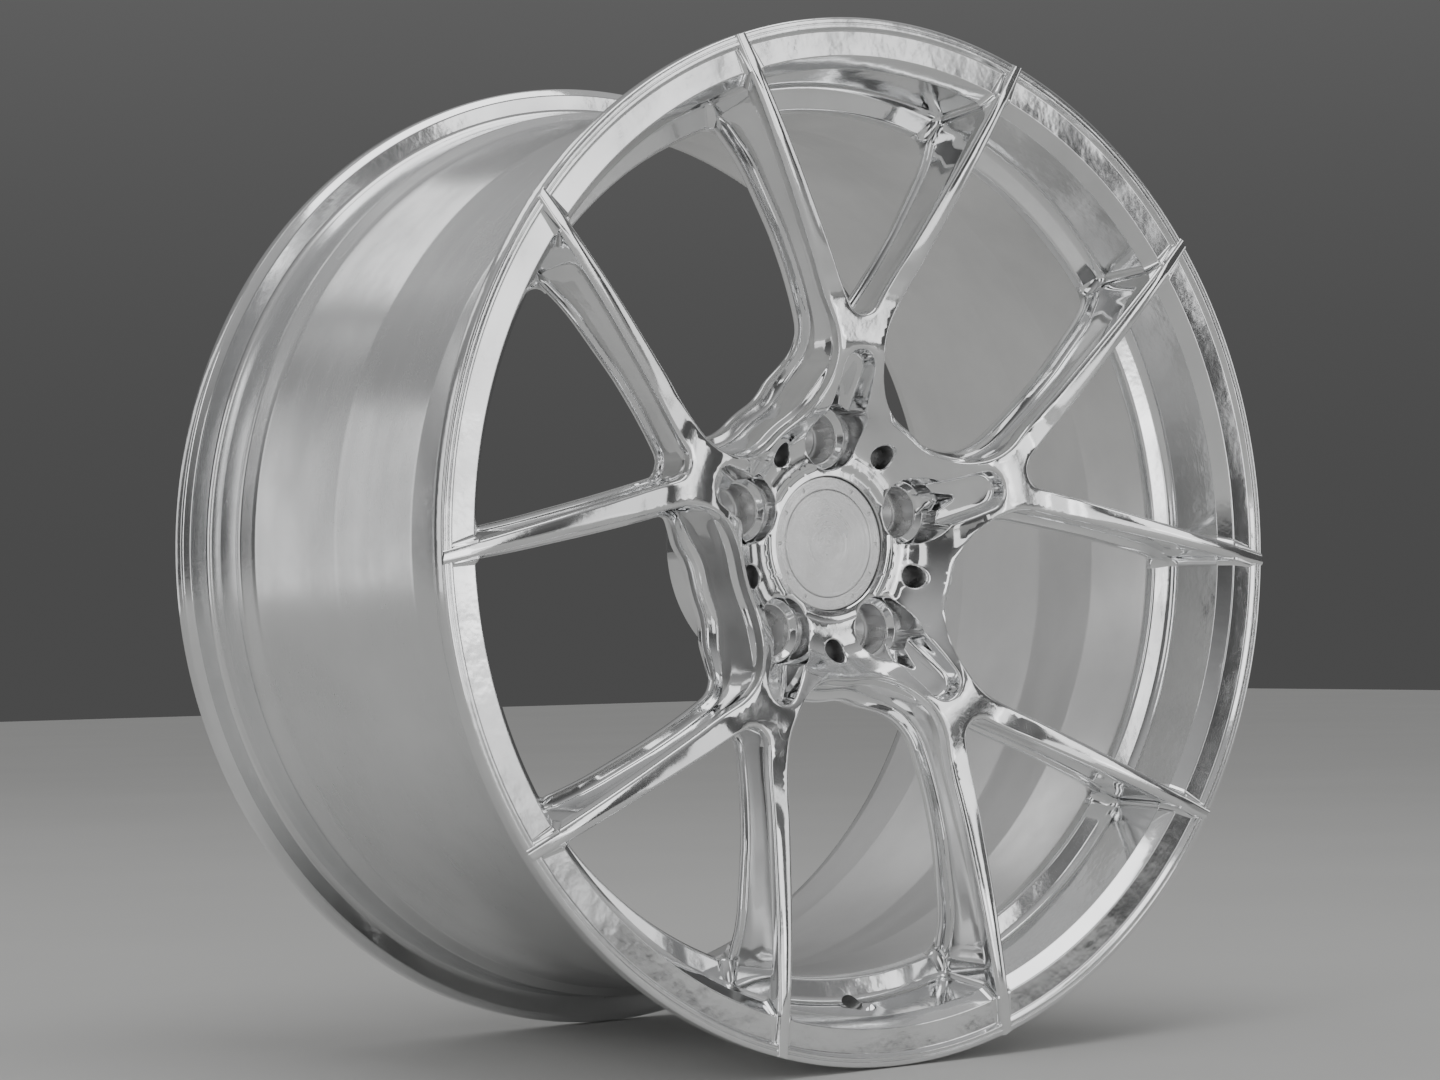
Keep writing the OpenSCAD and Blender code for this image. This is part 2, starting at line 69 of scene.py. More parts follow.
# %% Sizes
HALF_W = 139.1          # half the width over both flanges
RIM_R = 273.7
SEAT_R = 256.4          # bead seat
LEDGE_R = 231.0         # inner edge of the ledge behind the lip
ARMS = 5
TIP_ANGLE = np.radians(20)
NODE_R = 97.2           # where the middle lines of two spokes meet
TIP_W, NODE_W = 7.0, 15.0
HUB_R = 73.0            # where the large windows end at the hub
WINDOW_R = 42.0
CROTCH_R = 10.0
LUG_CIRCLE_R = 57.15
LUG_RIM_R, LUG_RIM_DEPTH = 18.5, 60.6    # wide cut in front of a counterbore
LUG_POCKET_R = 14.5
LUG_HOLE_R = 7.5
LUG_SEAT_DEPTH = 80.6
SMALL_HOLE_CIRCLE_R = 57.6
SMALL_HOLE_R = 6.0
MOUNT_DEPTH = 104.1
BORE_R = 33.05
PAD_R = 71.0
CAP_R = 35.85
RECESS_R = 36.15
HUB_FACE_DEPTH = 52.0


def stand_up(points):
    """(u, v, depth) in millimetres becomes (u, depth - half width, v) in metres."""
    p = np.asarray(points, float)
    return np.stack([p[..., 0], p[..., 2] - HALF_W, p[..., 1]], axis=-1) / 1000.0


def unit(v):
    """A vector, or each row of an array, divided by its length."""
    v = np.asarray(v, float)
    return v / np.linalg.norm(v, axis=-1, keepdims=True)


def turned(points, degrees):
    """Points turned clockwise in the plane of the wheel; any third column stays."""
    a = np.radians(-degrees)
    p = np.array(points, float)
    u, v = p[..., 0].copy(), p[..., 1].copy()
    p[..., 0] = np.cos(a) * u - np.sin(a) * v
    p[..., 1] = np.sin(a) * u + np.cos(a) * v
    return p


def mirrored(points, degrees=0.0):
    """Points reflected in the line through the axis at that clockwise angle from straight up."""
    p = turned(points, -degrees)
    p[..., 0] *= -1
    return turned(p, degrees)


# %% [markdown]
# ## Tools for surfaces
# A lathe or a cutter leaves smooth curves, so heights are given at a few radii and joined by a
# curve that never overshoots (a monotone cubic). A surface is a grid of points, and its faces
# join each point to its neighbours. `make_piece` stacks grids into one mesh, welds the points
# that meet, and turns the faces outwards. Subdivision surfaces would round the narrow
# ridges too much here, so the grids are simply made fine enough.

# %% Curves and grids
def smooth_curve(xs, ys):
    """A function through the points (x, y): piecewise cubic, with slopes that are the harmonic
    mean of the neighbouring chords, or zero where the curve turns back."""
    xs, ys = np.array(xs, float), np.array(ys, float)
    h, d = np.diff(xs), np.diff(ys) / np.diff(xs)
    m = np.zeros_like(xs)
    same = d[:-1] * d[1:] > 0
    w1, w2 = 2 * h[1:] + h[:-1], h[1:] + 2 * h[:-1]
    m[1:-1][same] = ((w1 + w2)[same]) / (w1[same] / d[:-1][same] + w2[same] / d[1:][same])
    m[0], m[-1] = d[0], d[-1]

    def value(x):
        x = np.clip(x, xs[0], xs[-1])
        i = np.clip(np.searchsorted(xs, x) - 1, 0, len(xs) - 2)
        t = (x - xs[i]) / h[i]
        return ((1 + 2 * t) * (1 - t) ** 2 * ys[i] + t * (1 - t) ** 2 * h[i] * m[i]
                + t * t * (3 - 2 * t) * ys[i + 1] - t * t * (1 - t) * h[i] * m[i + 1])

    return value


def ramp(x, a, b):
    """0 before a, 1 after b, and 3t^2 - 2t^3 in between."""
    t = np.clip((np.asarray(x, float) - a) / (b - a), 0, 1)
    return t * t * (3 - 2 * t)


def grid_faces(rows, cols, closed_rows=False, closed_cols=False):
    """Quads that join a rows x cols grid of points, numbered row by row."""
    i = np.arange(rows if closed_rows else rows - 1)[:, None]
    j = np.arange(cols if closed_cols else cols - 1)[None, :]
    a, b = i * cols + j, i * cols + (j + 1) % cols
    c, d = ((i + 1) % rows) * cols + (j + 1) % cols, ((i + 1) % rows) * cols + j
    return np.stack([a, b, c, d], axis=-1).reshape(-1, 4)


def grid(points, closed_rows=False, closed_cols=False):
    """(points, faces) of a grid of points, ready for make_piece."""
    p = np.asarray(points, float)
    return p.reshape(-1, 3), grid_faces(p.shape[0], p.shape[1], closed_rows, closed_cols)


def make_piece(name, surfaces, weld=0.004, sharp=38, flip=False):
    """One mesh from several (points, faces); points nearer than weld millimetres are joined."""
    points = np.concatenate([p for p, f in surfaces])
    faces, start = [], 0
    for p, f in surfaces:
        faces += (np.asarray(f) + start).tolist()
        start += len(p)
    mesh = bpy.data.meshes.new(name)
    mesh.from_pydata(stand_up(points).tolist(), [], faces)
    bm = bmesh.new()
    bm.from_mesh(mesh)
    bmesh.ops.remove_doubles(bm, verts=bm.verts, dist=weld / 1000)
    bmesh.ops.dissolve_degenerate(bm, edges=bm.edges, dist=1e-7)
    bmesh.ops.recalc_face_normals(bm, faces=bm.faces)
    open_edges = sum(1 for e in bm.edges if len(e.link_faces) != 2)
    bm.to_mesh(mesh)
    bm.free()
    mesh.polygons.foreach_set("use_smooth", np.ones(len(mesh.polygons), bool))
    mesh.set_sharp_from_angle(angle=np.radians(sharp))
    piece = bpy.data.objects.new(name, mesh)
    bpy.context.collection.objects.link(piece)
    if flip:
        mesh.flip_normals()
    print(f"{name}: {len(mesh.vertices)} points, {len(mesh.polygons)} faces, open edges {open_edges}")
    return piece


def spun(profile, steps=360, closed=False):
    """A profile of (radius, depth) spun round the axis: u = r sin a, v = r cos a."""
    p = np.asarray(profile, float)
    a = np.linspace(0, 2 * np.pi, steps, endpoint=False)[:, None]
    rows = np.stack([p[None, :, 0] * np.sin(a), p[None, :, 0] * np.cos(a),
                     np.broadcast_to(p[None, :, 1], (steps, len(p)))], axis=-1)
    return grid(rows, closed_rows=True, closed_cols=closed)


def rounded(corners, closed=False, steps=5):
    """A polyline of (x, y, radius) corners with each corner replaced by an arc of its radius."""
    c = [np.array(p, float) for p in corners]
    out = []
    for i, p in enumerate(c):
        if p[2] <= 0 or (not closed and i in (0, len(c) - 1)):
            out.append(p[:2])
            continue
        a, b = c[i - 1][:2] - p[:2], c[(i + 1) % len(c)][:2] - p[:2]
        la, lb = np.linalg.norm(a), np.linalg.norm(b)
        a, b = a / la, b / lb
        half = np.arccos(np.clip(a @ b, -1, 1)) / 2
        cut = min(p[2] / np.tan(half), 0.48 * la, 0.48 * lb)
        t = np.linspace(0, 1, steps + 1)[:, None]
        start, end = p[:2] + a * cut, p[:2] + b * cut
        w = np.cos(half)
        q = ((1 - t) ** 2 * start + 2 * t * (1 - t) * (1 - w) ** 0.5 * p[:2] + t * t * end)
        q = q / ((1 - t) ** 2 + 2 * t * (1 - t) * (1 - w) ** 0.5 + t * t)
        out += list(q)
    return np.array(out)


# %% [markdown]
# ## The turned face and back
# The front of every arm and spoke lies on one turned surface, and so does the back. Near the
# middle the face falls like a funnel to the flat round the cap. At the rim the back
# rises inside the metal of the lip, so that the spokes end buried in it.

# %% Face and back
face_depth = smooth_curve(
    [36, 41.6, 42.6, 49, 54, 58, 62, 66, 70, 73, 80, 90, 97, 103, 112, 120, 129, 140, 152.4,
     176.2, 200, 224.7, 249, 266, 273.7],
    [52, 52, 51.2, 51, 50.2, 48.6, 45.3, 41.0, 36.5, 33.4, 29.0, 24.4, 22.1, 20.9, 20.3, 20.0,
     19.5, 17.7, 14.7, 10.3, 6.4, 3.2, 1.0, 0.3, 0.05])
back_depth = smooth_curve(
    [70, 80, 85, 90, 97, 105, 115, 125, 140, 155, 175, 203, 213, 224, 236, 246.5, 248, 250,
     252.5, 274],
    [72.3, 72, 71.2, 69.5, 66, 60.5, 54, 49.5, 45, 42, 40, 40.2, 41.5, 45, 48.6, 49.6, 38, 20,
     9.2, 8.5])
print("face at the lip, the crotch and the hub:", face_depth(np.array([249.0, 120.0, 73.0])).round(1))

# %% [markdown]
# ## Outlines of the windows
# Seen from the front, each large window runs down a spoke, round an arc, along the hub, round
# another arc and up the next spoke. A small window inside a Y has two straight sides and a tight
# arc between them. Each outline is a row of points with the direction that
# leads into the opening, so a wall can be carried along it. The straight sides are sampled at
# the same radii on both sides of a spoke, which lets the two walls share one ridge.

# %% Window outlines
tip = RIM_R * np.array([np.sin(TIP_ANGLE), np.cos(TIP_ANGLE)])
node = np.array([0.0, NODE_R])
SPOKE_LEN = np.linalg.norm(tip - node)
along = (tip - node) / SPOKE_LEN
across = np.array([along[1], -along[0]])
CUT_R = 141.0
STATIONS = np.concatenate([np.arange(273.3, 243, -1.0), np.arange(243, CUT_R, -2.0), [CUT_R]])


def spoke_edge(side):
    """(point at the node, direction to the rim, normal into the window) of an edge in plan."""
    at_node = node + side * across * NODE_W / 2
    d = unit(tip + side * across * TIP_W / 2 - at_node)
    return at_node, d, side * np.array([d[1], -d[0]])


def on_edge(side, radii):
    """Points of a spoke's edge at those radii: the line q + t d meets the circle of radius r
    at t = -q.d + sqrt((q.d)^2 - q.q + r^2)."""
    q, d, n = spoke_edge(side)
    b = q @ d
    t = -b + np.sqrt(b * b - q @ q + np.asarray(radii, float) ** 2)
    return q + t[:, None] * d


def arc(centre, radius, start, end, step=1.6):
    """Points of a circle between two angles, going the short way, about step apart."""
    turn = (end - start + np.pi) % (2 * np.pi) - np.pi
    a = start + np.linspace(0, turn, max(int(abs(turn) * radius / step), 4) + 1)
    return centre + radius * np.stack([np.cos(a), np.sin(a)], axis=-1)


def large_window():
    """Half of a large window's outline, rim to hub, then the other half mirrored."""
    q, d, n = spoke_edge(1)
    far = q + WINDOW_R * n
    b = far @ d
    c = far + d * (-b + np.sqrt(b * b - far @ far + (HUB_R + WINDOW_R) ** 2))
    touch = c - n * WINDOW_R
    radii = np.concatenate([STATIONS, np.arange(CUT_R - 2, np.hypot(*touch), -2.0)])
    side = on_edge(1, radii)
    bend = arc(c, WINDOW_R, np.arctan2(*(-n)[::-1]), np.arctan2(*(-c)[::-1]))
    first = np.pi / 2 - np.arctan2(c[0], c[1])
    hub = HUB_R * np.stack([np.cos(a := np.linspace(first, np.pi / 2 - np.pi / ARMS, 6)), np.sin(a)], axis=-1)
    p = np.concatenate([side, bend, hub[1:]])
    into = np.concatenate([np.tile(n, (len(side), 1)), unit(c - bend), unit(hub[1:])])
    return (np.concatenate([p, mirrored(p, 36)[-2::-1]]),
            np.concatenate([into, mirrored(into, 36)[-2::-1]]))


def small_window():
    """The outline of the window inside a Y, from the right spoke's rim end to the left one's."""
    q, d, n = spoke_edge(-1)
    c = np.array([0.0, q[1] + (CROTCH_R + q[0] * n[0]) / n[1]])
    touch = c - n * CROTCH_R
    radii = np.concatenate([STATIONS, np.arange(CUT_R - 2, np.hypot(*touch), -2.0)])
    side = on_edge(-1, radii)
    bend = arc(c, CROTCH_R, np.arctan2(*(-n)[::-1]), -np.pi / 2, step=0.9)
    p = np.concatenate([side, bend])
    into = np.concatenate([np.tile(n, (len(side), 1)), unit(c - bend)])
    return (np.concatenate([p, mirrored(p)[-2::-1]]), np.concatenate([into, mirrored(into)[-2::-1]]))


large_p, large_n = large_window()
small_p, small_n = small_window()
print("outline points:", len(large_p), len(small_p), "crotch at", small_p[len(small_p) // 2].round(1))

# %% [markdown]
# ## Window walls
# A cutter shapes each wall in steps: a rounded edge, the flank of the ridge, a flat pocket that
# makes the spoke an I-beam, and a rounded rail at the back. The pocket fades out before the rim,
# and the rail grows where the wall rounds the hub. So the wall is one profile of
# (offset into the window, depth) pairs, whose values change along the outline.

# %% Wall profile
EDGE_FILLET = 2.0


def mix(a, b, t):
    """a where t is 0, b where t is 1."""
    return a + (b - a) * t


def wall(p, into, pocket_in, rail_out, rail_h, hub_rail, plain_from, flank=6.5):
    """Carries the wall's profile along an outline: each point of the outline gives one row
    p + offset * into, at the depths that lie between the turned face and the turned back."""
    r = np.hypot(p[:, 0], p[:, 1])
    top, bottom = face_depth(r), back_depth(r)
    h = bottom - top
    pocket = 1 - ramp(r, plain_from, plain_from + 9)
    at_hub = (1 - ramp(r, 80, 108)) * hub_rail
    small = np.clip(h / 24, 0.2, 1)
    fillet = EDGE_FILLET * np.clip(h / 10, 0.3, 1)
    flank_end = top + np.minimum(flank, 0.36 * h)
    rail_top = bottom - np.minimum(mix(rail_h, rail_h + 1.5, at_hub), 0.32 * h)
    step = 1.9 * small
    ledge = 0.25 + 0 * r
    pocket_top = mix(mix(0.5, -pocket_in, pocket), 3.2, at_hub)
    pocket_bottom = pocket_top + mix(0.5, 2.0, at_hub)
    rail = mix(mix(1.2, rail_out, pocket), 12.0, at_hub) * small
    back_fillet = np.minimum(3.0, 0.3 * h)
    rows = []
    for a in np.radians([0, 20, 40, 60, 80]):
        rows.append((-EDGE_FILLET + fillet * np.sin(a) + (EDGE_FILLET - fillet), top + fillet * (1 - np.cos(a))))
    rows[0] = (-EDGE_FILLET + 0 * r, top)
    rows += [(ledge - 0.12, flank_end - step * 0.5), (ledge, flank_end)]
    for t, down in ((0.12, 0.18), (0.38, 0.42), (0.7, 0.66), (0.92, 0.88), (1.0, 1.1)):
        rows.append((mix(ledge, pocket_top, t), flank_end + step * down))
    for t in (0.33, 0.67):
        rows.append((mix(pocket_top, pocket_bottom, t),
                     mix(flank_end + step * 1.1, rail_top - step, t)))
    rows.append((pocket_bottom, rail_top - step))
    for t, down in ((0.06, 0.35), (0.22, 0.62), (0.5, 0.82), (0.78, 0.95)):
        rows.append((mix(pocket_bottom, rail, t), rail_top - step * (1 - down)))
    curl = np.minimum(2.6, (bottom - rail_top) * 0.4)
    for a in np.radians([35, 60, 90]):
        rows.append((rail - curl * (1 - np.sin(a)), rail_top + curl * (1 - np.cos(a))))
    rows.append((rail, (rail_top + curl + bottom - back_fillet) / 2))
    for a in np.radians([0, 25, 50, 70, 90]):
        rows.append((rail - back_fillet * (1 - np.cos(a)), bottom - back_fillet * (1 - np.sin(a))))
    offset = np.stack([np.broadcast_to(o, r.shape) for o, d in rows], axis=1)
    depth = np.stack([np.broadcast_to(d, r.shape) for o, d in rows], axis=1)
    plan = p[:, None, :] + offset[:, :, None] * into[:, None, :]
    ends = np.hypot(plan[..., 0], plan[..., 1])
    depth[:, 0] = face_depth(ends[:, 0])
    depth[:, -1] = back_depth(ends[:, -1])
    return np.concatenate([plan, depth[:, :, None]], axis=-1)


large_wall = wall(large_p, large_n, 1.3, 4.5, 8.5, 1.0, 228)
small_wall = wall(small_p, small_n, 0.9, 2.4, 6.0, 0.0, 226, flank=5.0)
print("wall grids:", large_wall.shape, small_wall.shape)

# %% [markdown]
# ## Ridges, backs and ends of the spokes
# The two walls of a spoke face away from each other. Between their front edges lies the
# ridge, and between their back edges the narrow back. Both are strips: the same row
# of each wall gives the two ends, and points in between are spaced evenly. The ridge gets a slight
# crown, which makes it catch the light as one thin line.

# %% Spoke strips
ROWS = len(STATIONS)
LUMPS = 6


def strip(first, last, depth_of, crown=0.0):
    """Straight rows from each point of one edge to the same point of the other."""
    t = np.linspace(0, 1, LUMPS + 1)[None, :, None]
    p = first[:, None, :] * (1 - t) + last[:, None, :] * t
    r = np.hypot(p[..., 0], p[..., 1])
    bow = crown * 4 * t[..., 0] * (1 - t[..., 0]) * ramp(r, CUT_R, CUT_R + 30) * (1 - ramp(r, 240, 262))
    p[..., 2] = depth_of(r) - bow
    p[:, 0, 2], p[:, -1, 2] = first[:, 2], last[:, 2]
    return p


ridge = strip(large_wall[:ROWS, 0], small_wall[:ROWS, 0], face_depth, crown=0.25)
back_strip = strip(large_wall[:ROWS, -1], small_wall[:ROWS, -1], back_depth)
end_loop = np.concatenate([large_wall[0], back_strip[0, 1:-1], small_wall[0, ::-1], ridge[0, -2:0:-1]])


def each_arm(points, degrees=0.0):
    """The same surface turned to all five arms."""
    return [turned(points, degrees + 72.0 * k) for k in range(ARMS)]


spider = []
for shape in (large_wall, small_wall, ridge, mirrored(ridge), back_strip, mirrored(back_strip)):
    spider += [grid(p) for p in each_arm(shape)]
for loop in (end_loop, mirrored(end_loop)):
    spider += [(p, [list(range(len(p)))]) for p in each_arm(loop)]
print("surfaces of the spokes so far:", len(spider))

# %% [markdown]
# ## The milled hub face
# The middle of the face is one height field: a depth for each (u, v). It starts as the turned
# funnel. A trough runs from each lug hole out to the fork, a narrower wedge deepens the
# trough, and a wide cut with a chamfered floor leads down to the counterbore. Each cut is
# described by the distance from its outline: first a rounded lip, then a steep wall,
# then a rounded foot. To keep the edges crisp, the mesh has rows of points along these
# outlines, joined by a constrained Delaunay triangulation, which fills the space between
# curves with well-shaped triangles. A plain grid would leave stepped edges.

# %% Cutters
WALL = 0.45


def capsule_distance(u, v, low, low_r, high, high_r):
    """Distance outside a tapered capsule round two circles on the v axis, negative inside."""
    x, y, h = np.abs(u), v - low, high - low
    b = (low_r - high_r) / h
    a = np.sqrt(1 - b * b)
    k = -b * x + a * y
    side = a * x + b * y - low_r
    return np.where(k < 0, np.hypot(x, y) - low_r,
                    np.where(k > a * h, np.hypot(x, y - h) - high_r, side))


def capsule_loop(low, low_r, high, high_r, inset, step=1.3):
    """The same capsule's outline, moved in by inset: two arcs and the two tangent lines."""
    tilt = np.arcsin((low_r - high_r) / (high - low))
    r1, r2 = low_r - inset, high_r - inset
    n1, n2 = max(int(np.pi * r1 / step), 8), max(int(np.pi * r2 / step), 8)
    top = np.linspace(tilt, np.pi - tilt, n2 + 1)
    bottom = np.linspace(np.pi - tilt, 2 * np.pi + tilt, n1 + 1)
    circle_2 = np.stack([r2 * np.cos(top), high + r2 * np.sin(top)], axis=-1)
    circle_1 = np.stack([r1 * np.cos(bottom), low + r1 * np.sin(bottom)], axis=-1)
    n = max(int((high - low) / step), 2)
    t = np.linspace(0, 1, n + 1)[1:-1, None]
    return np.concatenate([circle_2, mix(circle_2[-1], circle_1[0], t), circle_1,
                           mix(circle_1[-1], circle_2[0], t)])


def circle_loop(u, v, radius, count):
    """Points of a circle round (u, v), starting straight up and going clockwise."""
    a = np.linspace(0, 2 * np.pi, count, endpoint=False)
    return np.stack([u + radius * np.sin(a), v + radius * np.cos(a)], axis=-1)


def cut_depth(inside, top, floor, lip, foot):
    """Depth at a distance inside a cut's outline: quarter ellipse, steep line, quarter ellipse."""
    total = np.maximum(floor - top, 0.01)
    down, up = np.minimum(lip, 0.45 * total), np.minimum(foot, 0.45 * total)
    a = np.clip(inside / lip, 0, 1)
    b = np.clip((inside - lip) / WALL, 0, 1)
    c = np.clip((inside - lip - WALL) / foot, 0, 1)
    return (top + down * (1 - np.sqrt(1 - a * a)) + (total - down - up) * b
            + up * np.sqrt(1 - (1 - c) ** 2) * (b >= 1))


def cut_insets(lip, foot):
    """The distances inside a cut's outline that need a row of points."""
    return [0, 0.45 * lip, 0.8 * lip, lip, lip + WALL, lip + WALL + 0.12 * foot,
            lip + WALL + 0.45 * foot, lip + WALL + foot]


TROUGH = (62.0, 14.4, 91.5, 12.0)
WEDGE = (65.0, 9.6, 81.5, 2.6)
TROUGH_CUT, WEDGE_CUT, RIM_CUT, POCKET_CUT = (1.6, 3.0), (1.0, 1.4), (0.5, 0.5), (0.7, 1.2)
trough_floor = smooth_curve([60, 72, 80, 88, 95, 100, 104], [54, 50.5, 45, 39, 34.5, 32.5, 32])
wedge_floor = smooth_curve([60, 70, 80, 90], [66, 64, 60, 54])
RIM_FLOOR_R = 17.7


def hub_depth(p):
    """Depth of the milled face at plan points p, folded into one arm's sector."""
    a = np.arctan2(p[:, 0], p[:, 1])
    fold = (a + np.pi / ARMS) % (2 * np.pi / ARMS) - np.pi / ARMS
    r = np.hypot(p[:, 0], p[:, 1])
    u, v = r * np.sin(fold), r * np.cos(fold)
    d = face_depth(r)
    lug = np.hypot(u, v - LUG_CIRCLE_R)
    inside = -capsule_distance(u, v, *TROUGH)
    d = np.where(inside > 0, cut_depth(inside, d, np.maximum(trough_floor(r), d), *TROUGH_CUT), d)
    inside = -capsule_distance(u, v, *WEDGE)
    d = np.where(inside > 0, cut_depth(inside, d, np.maximum(wedge_floor(r), d), *WEDGE_CUT), d)
    inside, chamfer = LUG_RIM_R - lug, np.clip(RIM_FLOOR_R - lug, 0, RIM_FLOOR_R - LUG_POCKET_R)
    d = np.where(inside > 0, cut_depth(inside, d, np.maximum(LUG_RIM_DEPTH + chamfer, d), *RIM_CUT), d)
    inside = LUG_POCKET_R - lug
    d = np.where(inside > 0, cut_depth(inside, d, np.maximum(LUG_SEAT_DEPTH, d), *POCKET_CUT), d)
    d = np.where(lug < 11.6, LUG_SEAT_DEPTH + (11.6 - lug) * 1.1, d)
    between = np.pi / ARMS - np.abs(fold)
    hole = np.hypot(r * np.sin(between), r * np.cos(between) - SMALL_HOLE_CIRCLE_R)
    lip = np.clip((SMALL_HOLE_R + 1.3 - hole) / 1.3, 0, 1)
    return d + 1.3 * (1 - np.sqrt(1 - lip * lip))


print("depths along an arm:", hub_depth(np.array([[0, 41.0], [0, 56], [0, 75], [0, 98], [0, 110]])).round(1))

# %% [markdown]
# The triangulation takes rows of points and the edges between them. Interior points lie on
# circles round the axis, because the face is turned: triangles that follow the turning reflect
# light evenly, and a square pattern would show as ragged bands. Afterwards, triangles that lie
# outside the star of arms, or inside a hole, are dropped.

# %% Triangulated plates
def spread(loops, reach, spacing, clear=0.8):
    """Points on circles 0.8 spacing apart that are not too near any of the loops."""
    circles = []
    for r in np.arange(RECESS_R, reach, 0.8 * spacing):
        a = np.arange(0, 2 * np.pi, 2 * np.pi / round(2 * np.pi * r / spacing))
        circles.append(r * np.stack([np.sin(a), np.cos(a)], axis=-1))
    p = np.concatenate(circles)
    taken = np.concatenate(loops)
    cell = np.round(taken / clear).astype(int)
    busy = set()
    for shift in ((0, 0), (1, 0), (-1, 0), (0, 1), (0, -1), (1, 1), (-1, -1), (1, -1), (-1, 1)):
        busy |= set(map(tuple, cell + np.array(shift)))
    free = [tuple(c) not in busy for c in np.round(p / clear).astype(int)]
    return p[np.array(free)]


def inside_polygon(p, loop):
    """Even-odd test: counts the edges of the loop that a line to the right of each point meets."""
    a, b = loop, np.roll(loop, -1, axis=0)
    hit = np.zeros(len(p), int)
    for first in range(0, len(a), 200):
        x1, y1 = a[first:first + 200, 0][None], a[first:first + 200, 1][None]
        x2, y2 = b[first:first + 200, 0][None], b[first:first + 200, 1][None]
        y = p[:, 1][:, None]
        crosses = (y1 > y) != (y2 > y)
        at = x1 + (y - y1) * (x2 - x1) / np.where(y2 == y1, 1e-9, y2 - y1)
        hit += (crosses & (p[:, 0][:, None] < at)).sum(axis=1)
    return hit % 2 == 1


def plate(closed_loops, open_lines, keep, depth_of, reach, spacing):
    """Triangulates the plane along the given rows of points, keeps the triangles whose middle
    passes keep(), and gives each point its depth."""
    rows = list(closed_loops) + list(open_lines)
    extra = spread(rows, reach, spacing)
    points = np.concatenate(rows + [extra])
    edges, start = [], 0
    for n, row in enumerate(rows):
        i = np.arange(len(row) - (n >= len(closed_loops)))
        edges.append(np.stack([start + i, start + (i + 1) % len(row)], axis=-1))
        start += len(row)
    out = delaunay_2d_cdt([Vector(p) for p in points.tolist()], np.concatenate(edges).tolist(), [], 0, 1e-3)
    p = np.array([tuple(v) for v in out[0]])
    tris = np.array([f for f in out[2] if len(f) == 3])
    tris = tris[keep(p[tris].mean(axis=1))]
    return np.concatenate([p, depth_of(p)[:, None]], axis=-1), tris


# %% Hub face, hub back and the holes through them
CIRCLE = 180
inner_rows = slice(ROWS - 1, len(large_wall) - ROWS + 1)
small_rows = slice(ROWS - 1, len(small_wall) - ROWS + 1)


def star(column):
    """The outline of the five arms up to the cut, from that column of the walls."""
    half = len(large_wall) // 2
    left = turned(large_wall[half:len(large_wall) - ROWS + 1, column, :2], -72)
    y = small_wall[small_rows, column, :2][::-1]
    right = large_wall[ROWS - 1:half, column, :2]
    return np.concatenate([turned(np.concatenate([left, y, right]), 72.0 * k) for k in range(ARMS)])


def outline_rows(column, cut_row):
    """Open rows of points: the walls' edges and the lines across the spokes at the cut."""
    rows = each_arm(large_wall[inner_rows, column, :2]) + each_arm(small_wall[small_rows, column, :2])
    return rows + each_arm(cut_row[:, :2]) + each_arm(mirrored(cut_row)[:, :2])


lug_loop = circle_loop(0, LUG_CIRCLE_R, LUG_HOLE_R, 48)
small_loop = turned(circle_loop(0, SMALL_HOLE_CIRCLE_R, SMALL_HOLE_R, 40), 36)
loops = [circle_loop(0, 0, r, CIRCLE) for r in (RECESS_R + 0.5, 41.6, 42.1, 42.6)]
for r in (11.6,):
    loops += each_arm(circle_loop(0, LUG_CIRCLE_R, r, 60))
loops += each_arm(lug_loop) + each_arm(small_loop)
for r in (0.45, 0.9, 1.3):
    loops += each_arm(turned(circle_loop(0, SMALL_HOLE_CIRCLE_R, SMALL_HOLE_R + r, 44), 36))
for inset in cut_insets(*POCKET_CUT):
    loops += each_arm(circle_loop(0, LUG_CIRCLE_R, LUG_POCKET_R - inset, 80))
for r in [LUG_RIM_R - inset for inset in cut_insets(*RIM_CUT)] + [16.6, 15.8, 15.1, 14.7]:
    loops += each_arm(circle_loop(0, LUG_CIRCLE_R, r, 90))
for inset in cut_insets(*TROUGH_CUT):
    loops += each_arm(capsule_loop(*TROUGH, inset))
for inset in cut_insets(*WEDGE_CUT)[:7]:
    loops += each_arm(capsule_loop(*WEDGE, inset))

lug_centres = each_arm(np.array([0.0, LUG_CIRCLE_R]))
small_centres = each_arm(np.array([0.0, SMALL_HOLE_CIRCLE_R]), 36)


def clear_of_holes(p, lug_r, small_r):
    """True for points outside all ten holes."""
    ok = np.ones(len(p), bool)
    for c in lug_centres:
        ok &= np.hypot(*(p - c).T) > lug_r
    for c in small_centres:
        ok &= np.hypot(*(p - c).T) > small_r
    return ok


